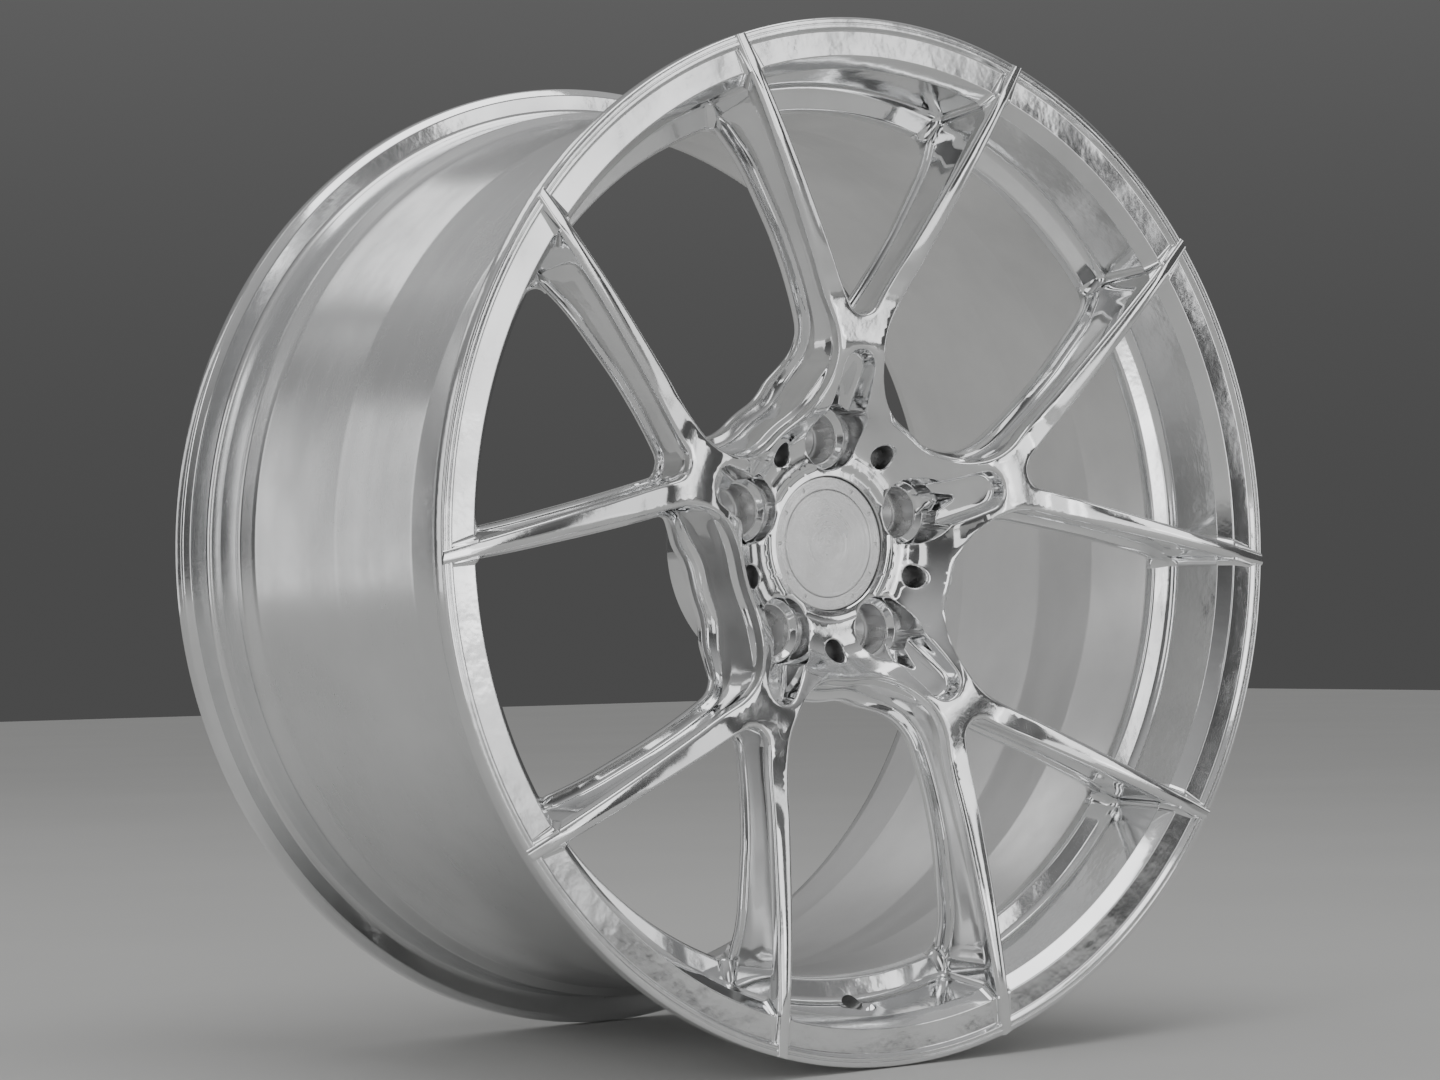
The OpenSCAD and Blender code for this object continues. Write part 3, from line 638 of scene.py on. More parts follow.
front_star = star(0)
front = plate(loops, outline_rows(0, ridge[-1]),
              lambda p: inside_polygon(p, front_star) & (np.hypot(*p.T) > RECESS_R + 0.49)
              & clear_of_holes(p, LUG_HOLE_R - 0.05, SMALL_HOLE_R - 0.05), hub_depth, 145, 1.9)
back_star = star(-1)
back = plate([circle_loop(0, 0, 77, CIRCLE)], outline_rows(-1, back_strip[-1]),
             lambda p: inside_polygon(p, back_star) & (np.hypot(*p.T) > 76.99),
             lambda p: back_depth(np.hypot(*p.T)), 145, 3.0)
pad_lugs = each_arm(circle_loop(0, LUG_CIRCLE_R, LUG_HOLE_R + 0.7, 48))
pad_smalls = [turned(p, 36) for p in each_arm(circle_loop(0, SMALL_HOLE_CIRCLE_R, SMALL_HOLE_R + 0.6, 40))]
pad = plate([circle_loop(0, 0, 70, CIRCLE), circle_loop(0, 0, 34.8, CIRCLE)] + pad_lugs + pad_smalls, [],
            lambda p: (np.hypot(*p.T) < 70) & (np.hypot(*p.T) > 34.8)
            & clear_of_holes(p, LUG_HOLE_R + 0.65, SMALL_HOLE_R + 0.55),
            lambda p: MOUNT_DEPTH + 0 * p[:, 0], 72, 3.0)
print("triangles: front", len(front[1]), "back", len(back[1]), "pad", len(pad[1]))


def hole_tube(loop, centre_r, turn, radii_depths):
    """A hole's wall: rings round its own axis, starting at the loop on the milled face."""
    first = np.concatenate([loop, hub_depth(loop)[:, None]], axis=-1)
    rings = [first]
    for r, d in radii_depths:
        ring = turned(circle_loop(0, centre_r, r, len(loop)), turn)
        rings.append(np.concatenate([ring, np.full((len(loop), 1), d)], axis=-1))
    return grid(np.stack(rings, axis=1), closed_rows=True)


for k in range(ARMS):
    spider.append(hole_tube(turned(lug_loop, 72 * k), LUG_CIRCLE_R, 72 * k,
                            [(LUG_HOLE_R, 90), (LUG_HOLE_R, 103.4), (LUG_HOLE_R + 0.7, MOUNT_DEPTH)]))
    spider.append(hole_tube(turned(small_loop, 72 * k), SMALL_HOLE_CIRCLE_R, 36 + 72 * k,
                            [(SMALL_HOLE_R, 70), (SMALL_HOLE_R, 103.5), (SMALL_HOLE_R + 0.6, MOUNT_DEPTH)]))
bore = rounded([(RECESS_R + 0.5, 52, 0), (RECESS_R, 52.5, 0), (RECESS_R, 60, 0.4), (32, 60, 0.4),
                (32, 74.7, 0.3), (BORE_R, 76, 0.3), (BORE_R, 102.6, 0.3), (34.8, MOUNT_DEPTH, 0)], steps=2)
neck = rounded([(77, float(back_depth(77.0)), 0), (73.5, 72.6, 1.5), (71, 79, 3), (71, 103, 0.5),
                (70, MOUNT_DEPTH, 0)], steps=3)
spider += [front, back, pad, spun(bore, CIRCLE), spun(neck, CIRCLE)]
spider_piece = make_piece("arms_and_hub", spider)

# %% [markdown]
# ## The rim
# The rim is a true lathe part, so it is one closed profile spun round the axis:
# flanges that hold the tyre's edge, bead seats with their humps, the drop centre that
# lets a tyre be mounted, and on the front a sunk lip face, a chamfer, a steep wall and a ledge.
# The valve hole is drilled afterwards with a Boolean, as on the real wheel.

# %% Rim
EDGE_R = RIM_R - 0.1
lip_profile = [(229.5, 62, 0), (229.5, 50, 4), (231.2, 45.0, 2.2), (243.9, 42.2, 5.5), (248.0, 11, 1.2),
               (253.8, 3.6, 1.0), (266.9, 3.5, 1.2), (268.1, 0.85, 0.5), (269.7, 0.8, 0.15),
               (270.0, 1.35, 0.15), (270.5, 1.35, 0.15), (270.8, 0.8, 0.15), (EDGE_R, 0.8, 1.3)]
tyre_side = [(EDGE_R, 9.0, 2.5), (269.5, 12.1, 2.0), (258.4, 12.4, 4.0), (256.0, 20, 3),
             (254.5, 34.1, 2), (255.8, 38.6, 2.5), (251.5, 46.5, 2), (244, 52, 4), (235, 64, 6),
             (235, 94, 14), (245.5, 152, 30), (250.5, 230, 6), (255.6, 236.5, 2.5), (255.8, 240, 2.5),
             (254.5, 244.1, 2), (256.0, 258.2, 3), (258.4, 265.8, 4), (269.5, 266.1, 2.0),
             (EDGE_R, 269.2, 2.5), (EDGE_R, 278.2, 2.2)]
inside = [(257.4, 278.2, 5), (251.4, 274.2, 4), (249.4, 266.1, 6), (245.0, 230, 12), (240.0, 154, 30),
          (229.5, 96, 16)]
rim_profile = rounded([c if i else (*c[:2], 0) for i, c in enumerate(lip_profile)] + tyre_side + inside,
                      closed=True)
rim_piece = make_piece("rim", [spun(rim_profile, 360, closed=True)], sharp=30)

VALVE_TILT = np.radians(30)
valve_axis = np.array([0.0, -np.sin(VALVE_TILT), np.cos(VALVE_TILT)])
valve_start = np.array([0.0, -242.5, 36.0])


def drill(name, start, axis, profile, steps=64):
    """A closed cutter: (distance along the axis, radius) spun round a slanted axis."""
    side = np.array([1.0, 0.0, 0.0])
    other = np.cross(axis, side)
    a = np.linspace(0, 2 * np.pi, steps, endpoint=False)[:, None, None]
    t = np.array([x for x, r in profile])[None, :, None]
    r = np.array([r for x, r in profile])[None, :, None]
    p = start + axis * t + r * (side * np.cos(a) + other * np.sin(a))
    return make_piece(name, [grid(p, closed_rows=True)])


def cut_with(piece, cutter):
    """Takes the cutter's shape out of a piece and keeps the result as its mesh."""
    boolean = piece.modifiers.new("drilled", "BOOLEAN")
    boolean.object, boolean.operation, boolean.solver = cutter, "DIFFERENCE", "EXACT"
    bpy.context.view_layer.update()
    done = bpy.data.meshes.new_from_object(piece.evaluated_get(bpy.context.evaluated_depsgraph_get()))
    piece.modifiers.clear()
    piece.data = done
    bpy.data.objects.remove(cutter)
    done.set_sharp_from_angle(angle=np.radians(30))


cut_with(rim_piece, drill("valve_drill", valve_start, valve_axis,
                          [(-30, 0), (-30, 10), (1.6, 10), (2.0, 9.6), (2.0, 6.4), (2.65, 5.75), (40, 5.75), (40, 0)]))
print("rim after drilling:", len(rim_piece.data.polygons), "faces")

# %% [markdown]
# ## Fillets at the feet of the spokes
# Where a spoke's side meets the lip, the cutter leaves a concave corner of its own radius. Such
# a fillet is a quarter circle that slides down the lip's profile: its middle keeps the same
# distance from the wall of the spoke and from the lip. It is small on the lip's face and large
# at the ledge, where it rounds the corner of the window. Each one is closed behind, inside the
# metal.

# %% Foot fillets
def foot_fillet(side, wall_offset):
    """Rows down the lip's profile. A point x from the spoke's side and y off the lip lies on the
    line parallel to the edge, x away, at radius r + y nr and depth d + y nd."""
    path = rounded(lip_profile[2:8], steps=8)
    path = np.concatenate([[[229.6, 49.2], [230.1, 47.4]], path])[::-1]
    tangent = unit(np.gradient(path, axis=0))
    normal = np.stack([tangent[:, 1], -tangent[:, 0]], axis=-1)
    normal *= np.sign(normal[len(path) // 2] @ np.array([-1.0, -0.3]))
    far = np.concatenate([[0], np.cumsum(np.hypot(*np.diff(path, axis=0).T))])
    rho = np.interp(far, [0, 2.0, 4.5, 14, 20, 30, 52, 60, 66, 72], [0.3, 0.9, 2.2, 2.8, 3.6, 4.5, 4.6, 5.5, 8.0, 8.5])
    phi = np.radians(np.linspace(0, 90, 9))
    x = np.concatenate([1 - np.sin(phi), [-0.0, -0.0, 1]])[None] * rho[:, None]
    y = np.concatenate([1 - np.cos(phi), [1, -0.0, -0.0]])[None] * rho[:, None]
    x[:, -3:-1] -= 1.2
    y[:, -2:] -= 1.2
    q, d, n = spoke_edge(side)
    r = path[:, 0][:, None] + y * normal[:, 0][:, None]
    depth = path[:, 1][:, None] + y * normal[:, 1][:, None]
    base = q + (wall_offset + x)[..., None] * n
    b = base @ d
    t = -b + np.sqrt(b * b - (base ** 2).sum(-1) + r * r)
    p = np.concatenate([base + t[..., None] * d, depth[..., None]], axis=-1)
    return p


feet = []
for side in (1, -1):
    p = foot_fillet(side, 0.45)
    for q in each_arm(p) + each_arm(mirrored(p)):
        feet.append(grid(q, closed_cols=True))
        feet += [(end, [list(range(len(end)))]) for end in (q[0], q[-1])]
feet_piece = make_piece("spoke_feet", feet, sharp=60)

# %% [markdown]
# ## The centre cap
# The cap is a thin plate set in a ring, both turned. The ring carries twelve short marks cut
# with a small end mill. They could be drawn in the material, but a mark that is cut catches the
# light on its walls, so here it is geometry: the ring's spun surface dips where a point lies
# inside one of the marks. The plastic clip, its spring wire and the rubber seal behind the ring
# keep their CAD shapes.

# %% Centre cap
PLATE_R = 28.9
CAP_TOP, CAP_BACK = 53.6, 57.6
MARK_R = (CAP_R + PLATE_R) / 2
MARKS = 12

plate_profile = [(0, CAP_TOP), (14, CAP_TOP), (27.9, CAP_TOP), (28.2, CAP_TOP), (28.35, CAP_TOP),
                 (PLATE_R - 0.45, CAP_TOP + 0.03), (PLATE_R - 0.15, CAP_TOP + 0.2),
                 (PLATE_R - 0.02, CAP_TOP + 0.4), (PLATE_R - 0.02, CAP_TOP + 2), (0, CAP_TOP + 2)]
plate_piece = make_piece("plate_of_cap", [spun(plate_profile, 240, closed=True)])

mark_rows = [(r, CAP_TOP) for r in MARK_R + np.array([-1.3, -1.15, -0.95, -0.4, 0.4, 0.95, 1.15, 1.3])]
ring_profile = ([(PLATE_R + 0.03, CAP_BACK - 2), (PLATE_R + 0.03, CAP_TOP + 0.35), (PLATE_R + 0.15, CAP_TOP + 0.1),
                 (PLATE_R + 0.4, CAP_TOP + 0.01), (PLATE_R + 0.5, CAP_TOP), (PLATE_R + 0.8, CAP_TOP)] + mark_rows
                + [(CAP_R - 1.0, CAP_TOP), (CAP_R - 0.7, CAP_TOP), (CAP_R - 0.6, CAP_TOP + 0.01), (CAP_R - 0.2, CAP_TOP + 0.15), (CAP_R - 0.02, CAP_TOP + 0.55),
                   (CAP_R - 0.02, CAP_BACK - 0.5), (CAP_R - 0.5, CAP_BACK), (PLATE_R - 4, CAP_BACK),
                   (PLATE_R - 4, CAP_BACK - 2)])
ring_points, ring_faces = spun(ring_profile, 720, closed=True)
angle = np.arctan2(ring_points[:, 0], ring_points[:, 1])
off = (angle + np.pi / MARKS) % (2 * np.pi / MARKS) - np.pi / MARKS
radius = np.hypot(ring_points[:, 0], ring_points[:, 1])
in_mark = ((1 - ramp(np.abs(radius * np.sin(off)), 0.4, 0.68)) * (1 - ramp(np.abs(radius - MARK_R), 0.95, 1.15))
           * (ring_points[:, 2] < CAP_TOP + 0.01))
ring_points[:, 2] += 0.4 * in_mark
ring_piece = make_piece("ring_of_cap", [(ring_points, ring_faces)], sharp=30)

# %% [markdown]
# ## Effects that several metals share
# Polished metal is never a perfect mirror. Hand polishing leaves long soft waves, the lathe
# leaves rings too fine to see one by one, and handling leaves faint cloudy patches where the
# gloss is a little lower. Each of these is a node group, built once and given its own values in each
# material. The rings depend only on the distance from the axis and the depth, so they lie
# round the wheel as a lathe would cut them.

# %% Node groups
def new_group(name, inputs, outputs):
    """A shader node group with number inputs (name, value) and outputs (name, kind)."""
    tree = bpy.data.node_groups.new(name, "ShaderNodeTree")
    for label, value in inputs:
        tree.interface.new_socket(name=label, in_out="INPUT", socket_type="NodeSocketFloat").default_value = value
    for label, kind in outputs:
        tree.interface.new_socket(name=label, in_out="OUTPUT", socket_type="NodeSocket" + kind)
    return tree, tree.nodes.new("NodeGroupInput"), tree.nodes.new("NodeGroupOutput")


def add(tree, kind, settings=(), **links):
    """Adds a node, sets its properties, and links or sets its inputs by name or number."""
    made = tree.nodes.new("ShaderNode" + kind)
    for key, value in dict(settings).items():
        setattr(made, key, value)
    for key, value in links.items():
        socket = made.inputs[int(key[1:])] if key[1:].isdigit() else made.inputs[key.replace("_", " ")]
        if isinstance(value, bpy.types.NodeSocket):
            tree.links.new(value, socket)
        else:
            socket.default_value = value
    return made


def math_node(tree, what, a, b=0.0):
    """One arithmetic step on two numbers or sockets."""
    return add(tree, "Math", {"operation": what}, i0=a, i1=b).outputs[0]


def noise_at(tree, scale, detail, roughness=0.5):
    """Noise over Object coordinates, about 0 to 1, with its size set by a number or a socket."""
    place = add(tree, "TexCoord").outputs["Object"]
    return add(tree, "TexNoise", Vector=place, Scale=scale, Detail=detail, Roughness=roughness).outputs["Fac"]


def make_polish_waves():
    """Normal of long waves and fine orange peel: a bump whose height is noise of two sizes."""
    tree, given, out = new_group("polish_waves", [("Wave Scale", 25.0), ("Wave Height", 0.0004),
                                                  ("Peel Scale", 400.0), ("Peel Height", 0.000006)],
                                 [("Normal", "Vector")])
    waves = add(tree, "Bump", Height=noise_at(tree, given.outputs["Wave Scale"], 1.5),
                Distance=given.outputs["Wave Height"])
    peel = add(tree, "Bump", Height=noise_at(tree, given.outputs["Peel Scale"], 2.0),
               Distance=given.outputs["Peel Height"], Normal=waves.outputs["Normal"])
    tree.links.new(peel.outputs["Normal"], out.inputs["Normal"])
    return tree


def make_lathe_rings():
    """Rings round the axis: noise of one number, (distance from the axis + 0.7 depth) x density.
    Gives their height as a normal, and a mask that follows broader bands of the same noise."""
    tree, given, out = new_group("lathe_rings", [("Density", 3000.0), ("Height", 0.000006), ("Bands", 90.0)],
                                 [("Normal", "Vector"), ("Band", "Float")])
    tree.interface.new_socket(name="Base Normal", in_out="INPUT", socket_type="NodeSocketVector").hide_value = True
    x, y, z = add(tree, "SeparateXYZ", i0=add(tree, "TexCoord").outputs["Object"]).outputs
    square = math_node(tree, "ADD", math_node(tree, "MULTIPLY", x, x), math_node(tree, "MULTIPLY", z, z))
    across = math_node(tree, "ADD", math_node(tree, "SQRT", square), math_node(tree, "MULTIPLY", y, 0.7))
    ring = add(tree, "TexNoise", {"noise_dimensions": "1D"}, W=math_node(tree, "MULTIPLY", across,
               given.outputs["Density"]), Scale=1.0, Detail=2.0)
    band = add(tree, "TexNoise", {"noise_dimensions": "1D"}, W=math_node(tree, "MULTIPLY", across,
               given.outputs["Bands"]), Scale=1.0, Detail=1.0)
    bump = add(tree, "Bump", Height=ring.outputs["Fac"], Distance=given.outputs["Height"],
               Normal=given.outputs["Base Normal"])
    tree.links.new(bump.outputs["Normal"], out.inputs["Normal"])
    tree.links.new(band.outputs["Fac"], out.inputs["Band"])
    return tree


def make_handling():
    """Clouds where the gloss is lower, and hairline scratches: soft noise, and the thin zero
    lines of a stretched noise. Gives a roughness and a grey that darkens the metal slightly."""
    tree, given, out = new_group("handling", [("Cloud Scale", 18.0), ("Low", 0.06), ("High", 0.14)],
                                 [("Roughness", "Float"), ("Shade", "Float")])
    cloud = noise_at(tree, given.outputs["Cloud Scale"], 5.0, 0.6)
    place = add(tree, "Mapping", {"vector_type": "POINT"}, Vector=add(tree, "TexCoord").outputs["Object"],
                Rotation=(0.4, 0.3, 0.5), Scale=(35.0, 260.0, 60.0)).outputs[0]
    streak = add(tree, "TexNoise", Vector=place, Scale=1.0, Detail=3.0).outputs["Fac"]
    line = math_node(tree, "ABSOLUTE", math_node(tree, "SUBTRACT", streak, 0.5))
    scratch = add(tree, "MapRange", Value=line, i1=0.0, i2=0.006, i3=1.0, i4=0.0).outputs[0]
    soft = add(tree, "MapRange", {"interpolation_type": "SMOOTHSTEP"}, Value=cloud, i1=0.35, i2=0.7,
               i3=given.outputs["Low"], i4=given.outputs["High"]).outputs[0]
    rough = math_node(tree, "ADD", soft, math_node(tree, "MULTIPLY", scratch, 0.05))
    shade = add(tree, "MapRange", Value=cloud, i1=0.3, i2=0.75, i3=1.0, i4=0.93).outputs[0]
    tree.links.new(rough, out.inputs["Roughness"])
    tree.links.new(shade, out.inputs["Shade"])
    return tree


POLISH_WAVES, LATHE_RINGS, HANDLING = make_polish_waves(), make_lathe_rings(), make_handling()
print("shared groups:", [g.name for g in (POLISH_WAVES, LATHE_RINGS, HANDLING)])

# %% [markdown]
# ## Metals
# All the aluminium is the same alloy. What differs is the last step of the work: a
# buffing wheel on the face, a polishing cloth on the spinning rim, a satin brush inside the
# barrel, and a clean lathe cut on the cap. So one function builds the material, and each finish gives
# its own colour, gloss, waves and rings.

# %% Metal materials
def new_material(name, metallic, **constants):
    """An empty material with one Principled shader; constants go straight onto its sockets."""
    material = bpy.data.materials.new(name)
    material.use_nodes = True
    tree = material.node_tree
    shader = tree.nodes["Principled BSDF"]
    shader.inputs["Metallic"].default_value = metallic
    for key, value in constants.items():
        shader.inputs[key.replace("_", " ")].default_value = value
    return material, tree, shader


def place_group(tree, group, **values):
    """Puts a shared group into a material with that material's own values."""
    made = add(tree, "Group", {"node_tree": group})
    for key, value in values.items():
        made.inputs[key.replace("_", " ")].default_value = value
    return made


def aluminium(name, dark, light, handling, waves, rings=None):
    """Polished or turned aluminium: handling sets roughness and shade, waves and rings the normal."""
    material, tree, shader = new_material(name, 1.0)
    touch = place_group(tree, HANDLING, **handling)
    wavy = place_group(tree, POLISH_WAVES, **waves)
    normal = wavy.outputs["Normal"]
    rough = touch.outputs["Roughness"]
    if rings:
        turned_rings = place_group(tree, LATHE_RINGS, **rings)
        tree.links.new(normal, turned_rings.inputs["Base Normal"])
        normal = turned_rings.outputs["Normal"]
        swing = math_node(tree, "MULTIPLY", math_node(tree, "SUBTRACT", turned_rings.outputs["Band"], 0.5), 0.06)
        rough = math_node(tree, "ADD", rough, swing)
    colour = add(tree, "MapRange", Value=touch.outputs["Shade"], i1=0.93, i2=1.0).outputs[0]
    mixed = tree.nodes.new("ShaderNodeMixRGB")
    mixed.inputs["Color1"].default_value = (*dark, 1)
    mixed.inputs["Color2"].default_value = (*light, 1)
    tree.links.new(colour, mixed.inputs["Fac"])
    tree.links.new(mixed.outputs[0], shader.inputs["Base Color"])
    tree.links.new(rough, shader.inputs["Roughness"])
    tree.links.new(normal, shader.inputs["Normal"])
    return material


buffed_face = aluminium(
    "buffed_face", (0.80, 0.805, 0.81), (0.93, 0.935, 0.94), {"Cloud_Scale": 22.0, "Low": 0.06, "High": 0.12},
    {"Wave_Scale": 30.0, "Wave_Height": 0.00035, "Peel_Scale": 160.0, "Peel_Height": 0.00003})
polished_rim = aluminium(
    "polished_rim", (0.78, 0.785, 0.79), (0.93, 0.935, 0.94), {"Cloud_Scale": 16.0, "Low": 0.07, "High": 0.14},
    {"Wave_Scale": 22.0, "Wave_Height": 0.0006, "Peel_Scale": 130.0, "Peel_Height": 0.00007},
    {"Density": 2600.0, "Height": 0.000004, "Bands": 110.0})
turned_tyre_side = aluminium(
    "turned_tyre_side", (0.74, 0.745, 0.75), (0.88, 0.885, 0.89), {"Cloud_Scale": 11.0, "Low": 0.19, "High": 0.27},
    {"Wave_Scale": 12.0, "Wave_Height": 0.0012, "Peel_Scale": 220.0, "Peel_Height": 0.00001},
    {"Density": 2600.0, "Height": 0.000004, "Bands": 110.0})
machined_pocket = aluminium(
    "machined_pocket", (0.72, 0.72, 0.725), (0.85, 0.85, 0.85), {"Cloud_Scale": 60.0, "Low": 0.24, "High": 0.32},
    {"Wave_Scale": 50.0, "Wave_Height": 0.00005, "Peel_Scale": 700.0, "Peel_Height": 0.000006})
satin_barrel = aluminium(
    "satin_barrel", (0.80, 0.80, 0.80), (0.92, 0.92, 0.915), {"Cloud_Scale": 12.0, "Low": 0.30, "High": 0.42},
    {"Wave_Scale": 14.0, "Wave_Height": 0.0008, "Peel_Scale": 900.0, "Peel_Height": 0.00004},
    {"Density": 1800.0, "Height": 0.00001, "Bands": 60.0})
turned_cap = aluminium(
    "turned_cap", (0.70, 0.70, 0.705), (0.80, 0.80, 0.80), {"Cloud_Scale": 40.0, "Low": 0.20, "High": 0.28},
    {"Wave_Scale": 60.0, "Wave_Height": 0.00006, "Peel_Scale": 700.0, "Peel_Height": 0.000006},
    {"Density": 5200.0, "Height": 0.00003, "Bands": 400.0})
print("metals:", [m.name for m in (buffed_face, machined_pocket, polished_rim,
                                   turned_tyre_side, satin_barrel, turned_cap)])

# %% [markdown]
# ## Plastic, spring wire and rubber
# Behind the cap sit three small parts that show when it is pulled out: a moulded clip with the
# fine pitted grain of a spark-eroded mould, a drawn steel wire with lengthwise lines,
# and a rubber seal that is dull and slightly dusty. They stay CAD nodes, so only their materials change.

# %% Materials of the clip, the wire and the seal
def grained(name, dark, light, rough, scale, height, metallic=0.0, rings=None, **constants):
    """A plain stuff with speckled colour, uneven gloss and a fine grain."""
    material, tree, shader = new_material(name, metallic, **constants)
    touch = place_group(tree, HANDLING, Cloud_Scale=60.0, Low=rough[0], High=rough[1])
    grain = place_group(tree, POLISH_WAVES, Wave_Scale=scale * 0.2, Wave_Height=height * 2, Peel_Scale=scale,
                        Peel_Height=height)
    normal = grain.outputs["Normal"]
    if rings:
        lines = place_group(tree, LATHE_RINGS, **rings)
        tree.links.new(normal, lines.inputs["Base Normal"])
        normal = lines.outputs["Normal"]
    mixed = tree.nodes.new("ShaderNodeMixRGB")
    mixed.inputs["Color1"].default_value = (*dark, 1)
    mixed.inputs["Color2"].default_value = (*light, 1)
    tree.links.new(noise_at(tree, 350.0, 4.0), mixed.inputs["Fac"])
    tree.links.new(mixed.outputs[0], shader.inputs["Base Color"])
    tree.links.new(touch.outputs["Roughness"], shader.inputs["Roughness"])
    tree.links.new(normal, shader.inputs["Normal"])
    return material


moulded_clip = grained("moulded_clip", (0.035, 0.036, 0.04), (0.06, 0.061, 0.065), (0.42, 0.58), 1500.0, 0.00003)
drawn_wire = grained("drawn_wire", (0.42, 0.42, 0.43), (0.58, 0.58, 0.60), (0.22, 0.34), 900.0, 0.000004,
                     metallic=1.0, rings={"Density": 9000.0, "Height": 0.000006, "Bands": 600.0})
moulded_rubber = grained("moulded_rubber", (0.018, 0.018, 0.018), (0.045, 0.044, 0.042), (0.62, 0.80), 1100.0,
                         0.00004)

# %% [markdown]
# ## Dressing the pieces
# The rim is one mesh with two finishes: the inside of the barrel, from the ledge to the back
# flange, is satin, and everything else is polished. A face belongs to the inside when it lies behind the
# ledge and looks towards the axis.

# %% Materials on the pieces
def faces_of(mesh):
    """Middle and normal of every face, lying face up in millimetres: (u, v, depth) and (u, v)."""
    middle, normal = np.zeros(len(mesh.polygons) * 3), np.zeros(len(mesh.polygons) * 3)
    mesh.polygons.foreach_get("center", middle)
    mesh.polygons.foreach_get("normal", normal)
    middle, normal = middle.reshape(-1, 3) * 1000, normal.reshape(-1, 3)
    return np.stack([middle[:, 0], middle[:, 2], middle[:, 1] + HALF_W], axis=-1), normal[:, [0, 2]]


spider_piece.data.materials.append(buffed_face)
spider_piece.data.materials.append(machined_pocket)
feet_piece.data.materials.append(buffed_face)
middle, normal = faces_of(spider_piece.data)
in_pocket = ((~clear_of_holes(middle[:, :2], LUG_POCKET_R - 0.35, 0) & (middle[:, 2] > 62.5))
             | (~clear_of_holes(middle[:, :2], 0, SMALL_HOLE_R + 0.1) & (middle[:, 2] > 54))
             | ((np.hypot(middle[:, 0], middle[:, 1]) < RECESS_R + 0.1)))
spider_piece.data.polygons.foreach_set("material_index", in_pocket.astype(np.int32))
print("machined faces of the hub:", int(in_pocket.sum()))
for piece in (plate_piece, ring_piece):
    piece.data.materials.append(turned_cap)
rim_mesh = rim_piece.data
rim_mesh.materials.clear()
for material in (polished_rim, satin_barrel, turned_tyre_side):
    rim_mesh.materials.append(material)
middle, normal = faces_of(rim_mesh)
is_inside = ((middle[:, :2] * normal).sum(axis=1) < 0) & (middle[:, 2] > 49) & (middle[:, 2] < 272)
on_tyre_side = ((middle[:, :2] * normal).sum(axis=1) > 0) & (middle[:, 2] > 13) & (middle[:, 2] < 265)
rim_mesh.polygons.foreach_set("material_index", (is_inside + 2 * (on_tyre_side & ~is_inside)).astype(np.int32))
print("satin faces of the rim:", int(is_inside.sum()), "on the tyre's side:", int(on_tyre_side.sum()))

for node_name, material in (("cap_clip", moulded_clip), ("cap_spring_wire", drawn_wire),
                            ("cap_seal", moulded_rubber)):
    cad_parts[node_name].data.materials.clear()
    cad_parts[node_name].data.materials.append(material)

# %% [markdown]
# ## What replaces what
# The CAD solids of the forging stay behind for collision, and these pieces stand for them. The
# pieces of the forging ride on the wheel, and the plate and ring ride on the cap, which slides out
# along the axis.

# %% Bodies
SPIDER_NODES = ["hub"] + [f"y_arm_{i}" for i in range(1, 6)] + [f"spoke_{i}" for i in range(1, 11)]
RIM_NODES = ["outer_flange", "outer_seat", "lip_ledge", "valve_segment", "well", "barrel_ramp", "barrel",
             "inner_seat", "inner_flange"]
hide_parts(*SPIDER_NODES)
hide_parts(*RIM_NODES)
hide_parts("cap_plate")
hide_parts("cap_ring")
for piece, body, slot in ((spider_piece, "wheel", "polished_face"), (feet_piece, "wheel", "polished_face"),
                          (rim_piece, "wheel", "polished_face"), (plate_piece, "cap", "cap_metal"),
                          (ring_piece, "cap", "cap_metal")):
    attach(piece, body)

# %% [markdown]
# ## Floor and light
# A mirror shows only what stands round it, so polished metal is lit by what it reflects. Large
# soft panels give broad pale areas, the dim room between them gives the dark ones, and narrow strips
# draw thin lines along the ridges. The wheel's flats throw the view to the right and
# forwards, so the largest panel stands there. The outside of the barrel reflects the space behind
# it, so two strips stand at the back.

# %% Stage
def softbox(name, place, width, height, glow, aim=(0, 0, 0)):
    """A rectangular panel that faces aim; its power is glow x pi x area."""
    light = bpy.data.lights.new(name, "AREA")
    light.shape, light.size, light.size_y = "RECTANGLE", width, height
    light.energy = glow * np.pi * width * height
    lamp = bpy.data.objects.new(name, light)
    bpy.context.collection.objects.link(lamp)
    lamp.location = place
    lamp.rotation_euler = (Vector(aim) - Vector(place)).to_track_quat("-Z", "Y").to_euler()
    return lamp


softbox("front_right_panel", (1.75, -2.7, 0.75), 0.55, 1.5, 1.7)
softbox("front_far_right_panel", (2.7, -1.9, 0.2), 0.8, 1.3, 1.1)
softbox("front_middle_strip", (0.9, -3.0, 0.4), 0.2, 1.8, 2.0)
softbox("camera_side_panel", (-1.75, -2.35, 0.45), 0.9, 1.5, 1.3)
softbox("top_panel", (0.1, -0.5, 2.3), 2.0, 1.2, 2.2)
softbox("left_panel", (-2.4, -0.8, 0.7), 0.45, 2.0, 2.2)
softbox("back_left_panel", (-2.1, 1.9, 0.45), 0.9, 1.6, 0.95)
softbox("back_left_strip", (-1.1, 2.7, 0.7), 0.35, 2.0, 0.75)
softbox("back_strip", (-0.3, 2.6, 2.1), 1.6, 0.35, 1.4)
softbox("low_front_panel", (0.6, -2.2, -0.05), 1.6, 0.3, 1.2)

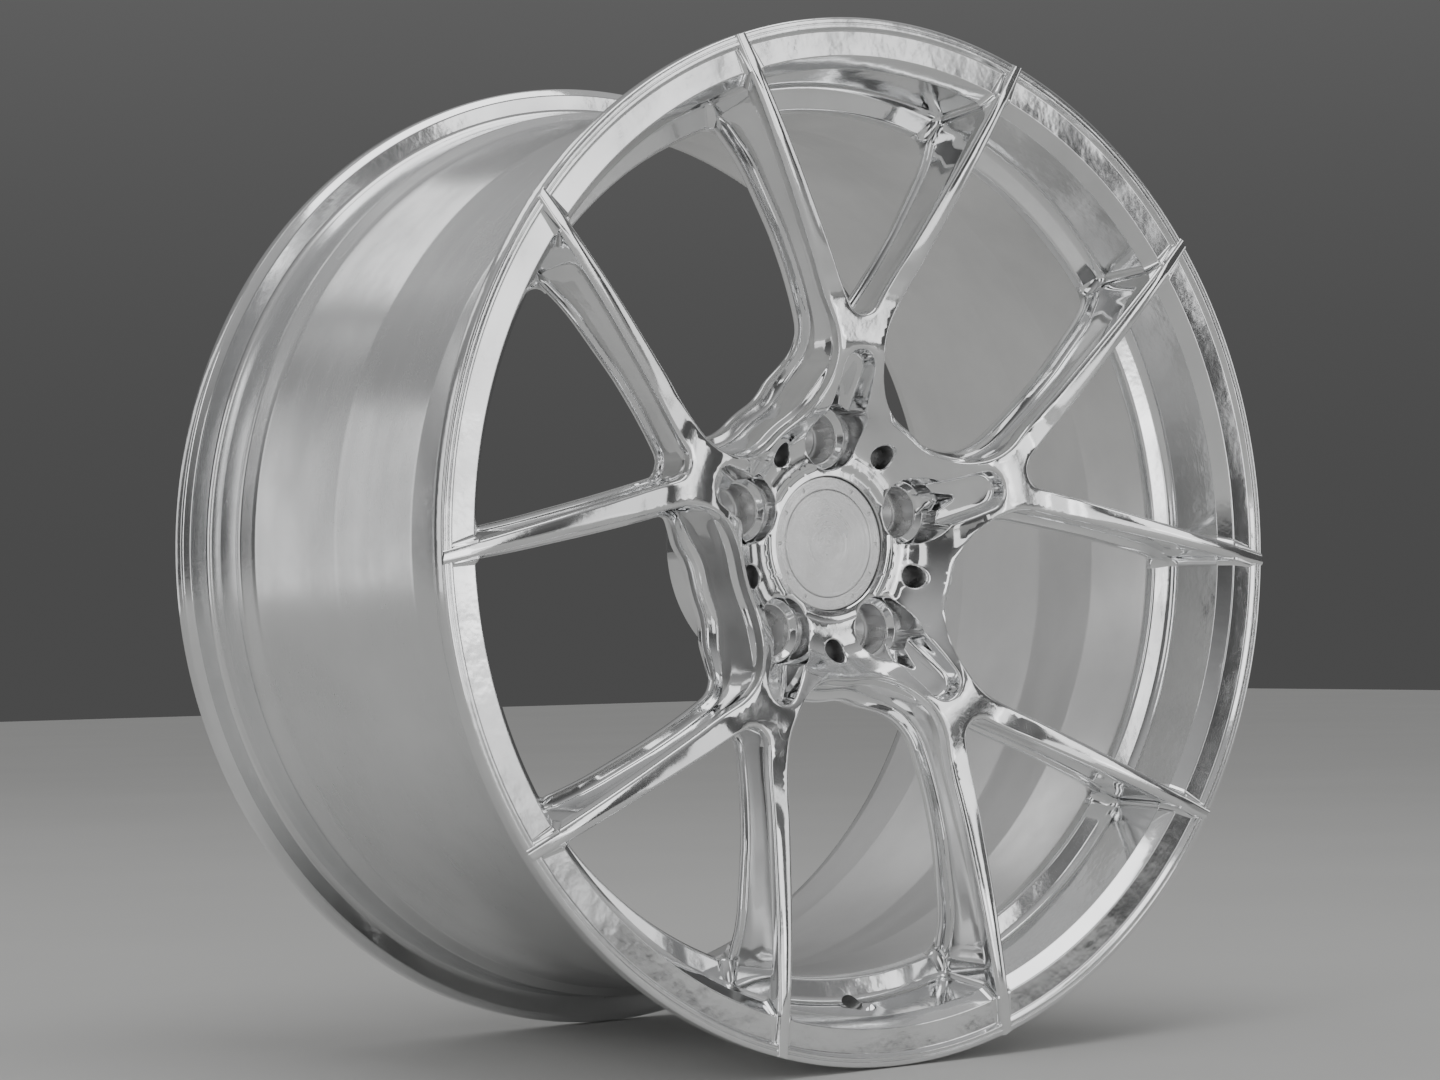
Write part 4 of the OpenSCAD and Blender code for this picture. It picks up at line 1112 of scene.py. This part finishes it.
floor_z = cad_box[0][2] - 0.0005
floor_mesh = bpy.data.meshes.new("floor")
floor_mesh.from_pydata([(x, y, floor_z) for x, y in ((-7, -7), (7, -7), (7, 7), (-7, 7))], [], [(0, 1, 2, 3)])
floor = bpy.data.objects.new("floor", floor_mesh)
bpy.context.collection.objects.link(floor)
floor_material, floor_tree, floor_shader = new_material("pale_floor", 0.0)
floor_shade = floor_tree.nodes.new("ShaderNodeMixRGB")
floor_shade.inputs["Color1"].default_value = (0.60, 0.60, 0.59, 1)
floor_shade.inputs["Color2"].default_value = (0.66, 0.66, 0.65, 1)
floor_tree.links.new(noise_at(floor_tree, 3.0, 3.0), floor_shade.inputs["Fac"])
floor_tree.links.new(floor_shade.outputs[0], floor_shader.inputs["Base Color"])
floor_shader.inputs["Roughness"].default_value = 0.75
floor_mesh.materials.append(floor_material)

world = bpy.data.worlds.new("dim_room")
bpy.context.scene.world = world
world.use_nodes = True
sky = world.node_tree
height = add(sky, "SeparateXYZ", i0=add(sky, "TexCoord").outputs["Generated"]).outputs[2]
glow = add(sky, "MapRange", {"interpolation_type": "SMOOTHSTEP"}, Value=height, i1=0.0, i2=0.9, i3=0.075, i4=0.45)
sky.links.new(glow.outputs[0], sky.nodes["Background"].inputs["Color"])

# %% [markdown]
# ## Camera
# The view is from the left and level with the hub, from nearly two metres away with a long lens,
# so the circles of the wheel keep their shape. A tiny roll and shift set the framing.

# %% Camera
AZIMUTH, ELEVATION, ROLL = np.radians([-36.469, -1.393, -0.787])
DISTANCE = 1.831451

camera = bpy.data.cameras.new("camera")
camera_object = bpy.data.objects.new("camera", camera)
bpy.context.collection.objects.link(camera_object)
bpy.context.scene.camera = camera_object
backwards = np.array([np.sin(AZIMUTH) * np.cos(ELEVATION), -np.cos(AZIMUTH) * np.cos(ELEVATION), np.sin(ELEVATION)])
level = np.array([np.cos(AZIMUTH), np.sin(AZIMUTH), 0.0])
upwards = np.cross(backwards, level)
pose = np.eye(4)
pose[:3, 0] = np.cos(ROLL) * level + np.sin(ROLL) * upwards
pose[:3, 1] = np.cos(ROLL) * upwards - np.sin(ROLL) * level
pose[:3, 2] = backwards
pose[:3, 3] = backwards * DISTANCE
camera_object.matrix_world = Matrix(pose.tolist())
camera.sensor_width = 36.0
camera.lens = 82.3153
camera.shift_x, camera.shift_y = -0.0093285, 0.0055868
print("camera at", np.round(pose[:3, 3], 3).tolist())
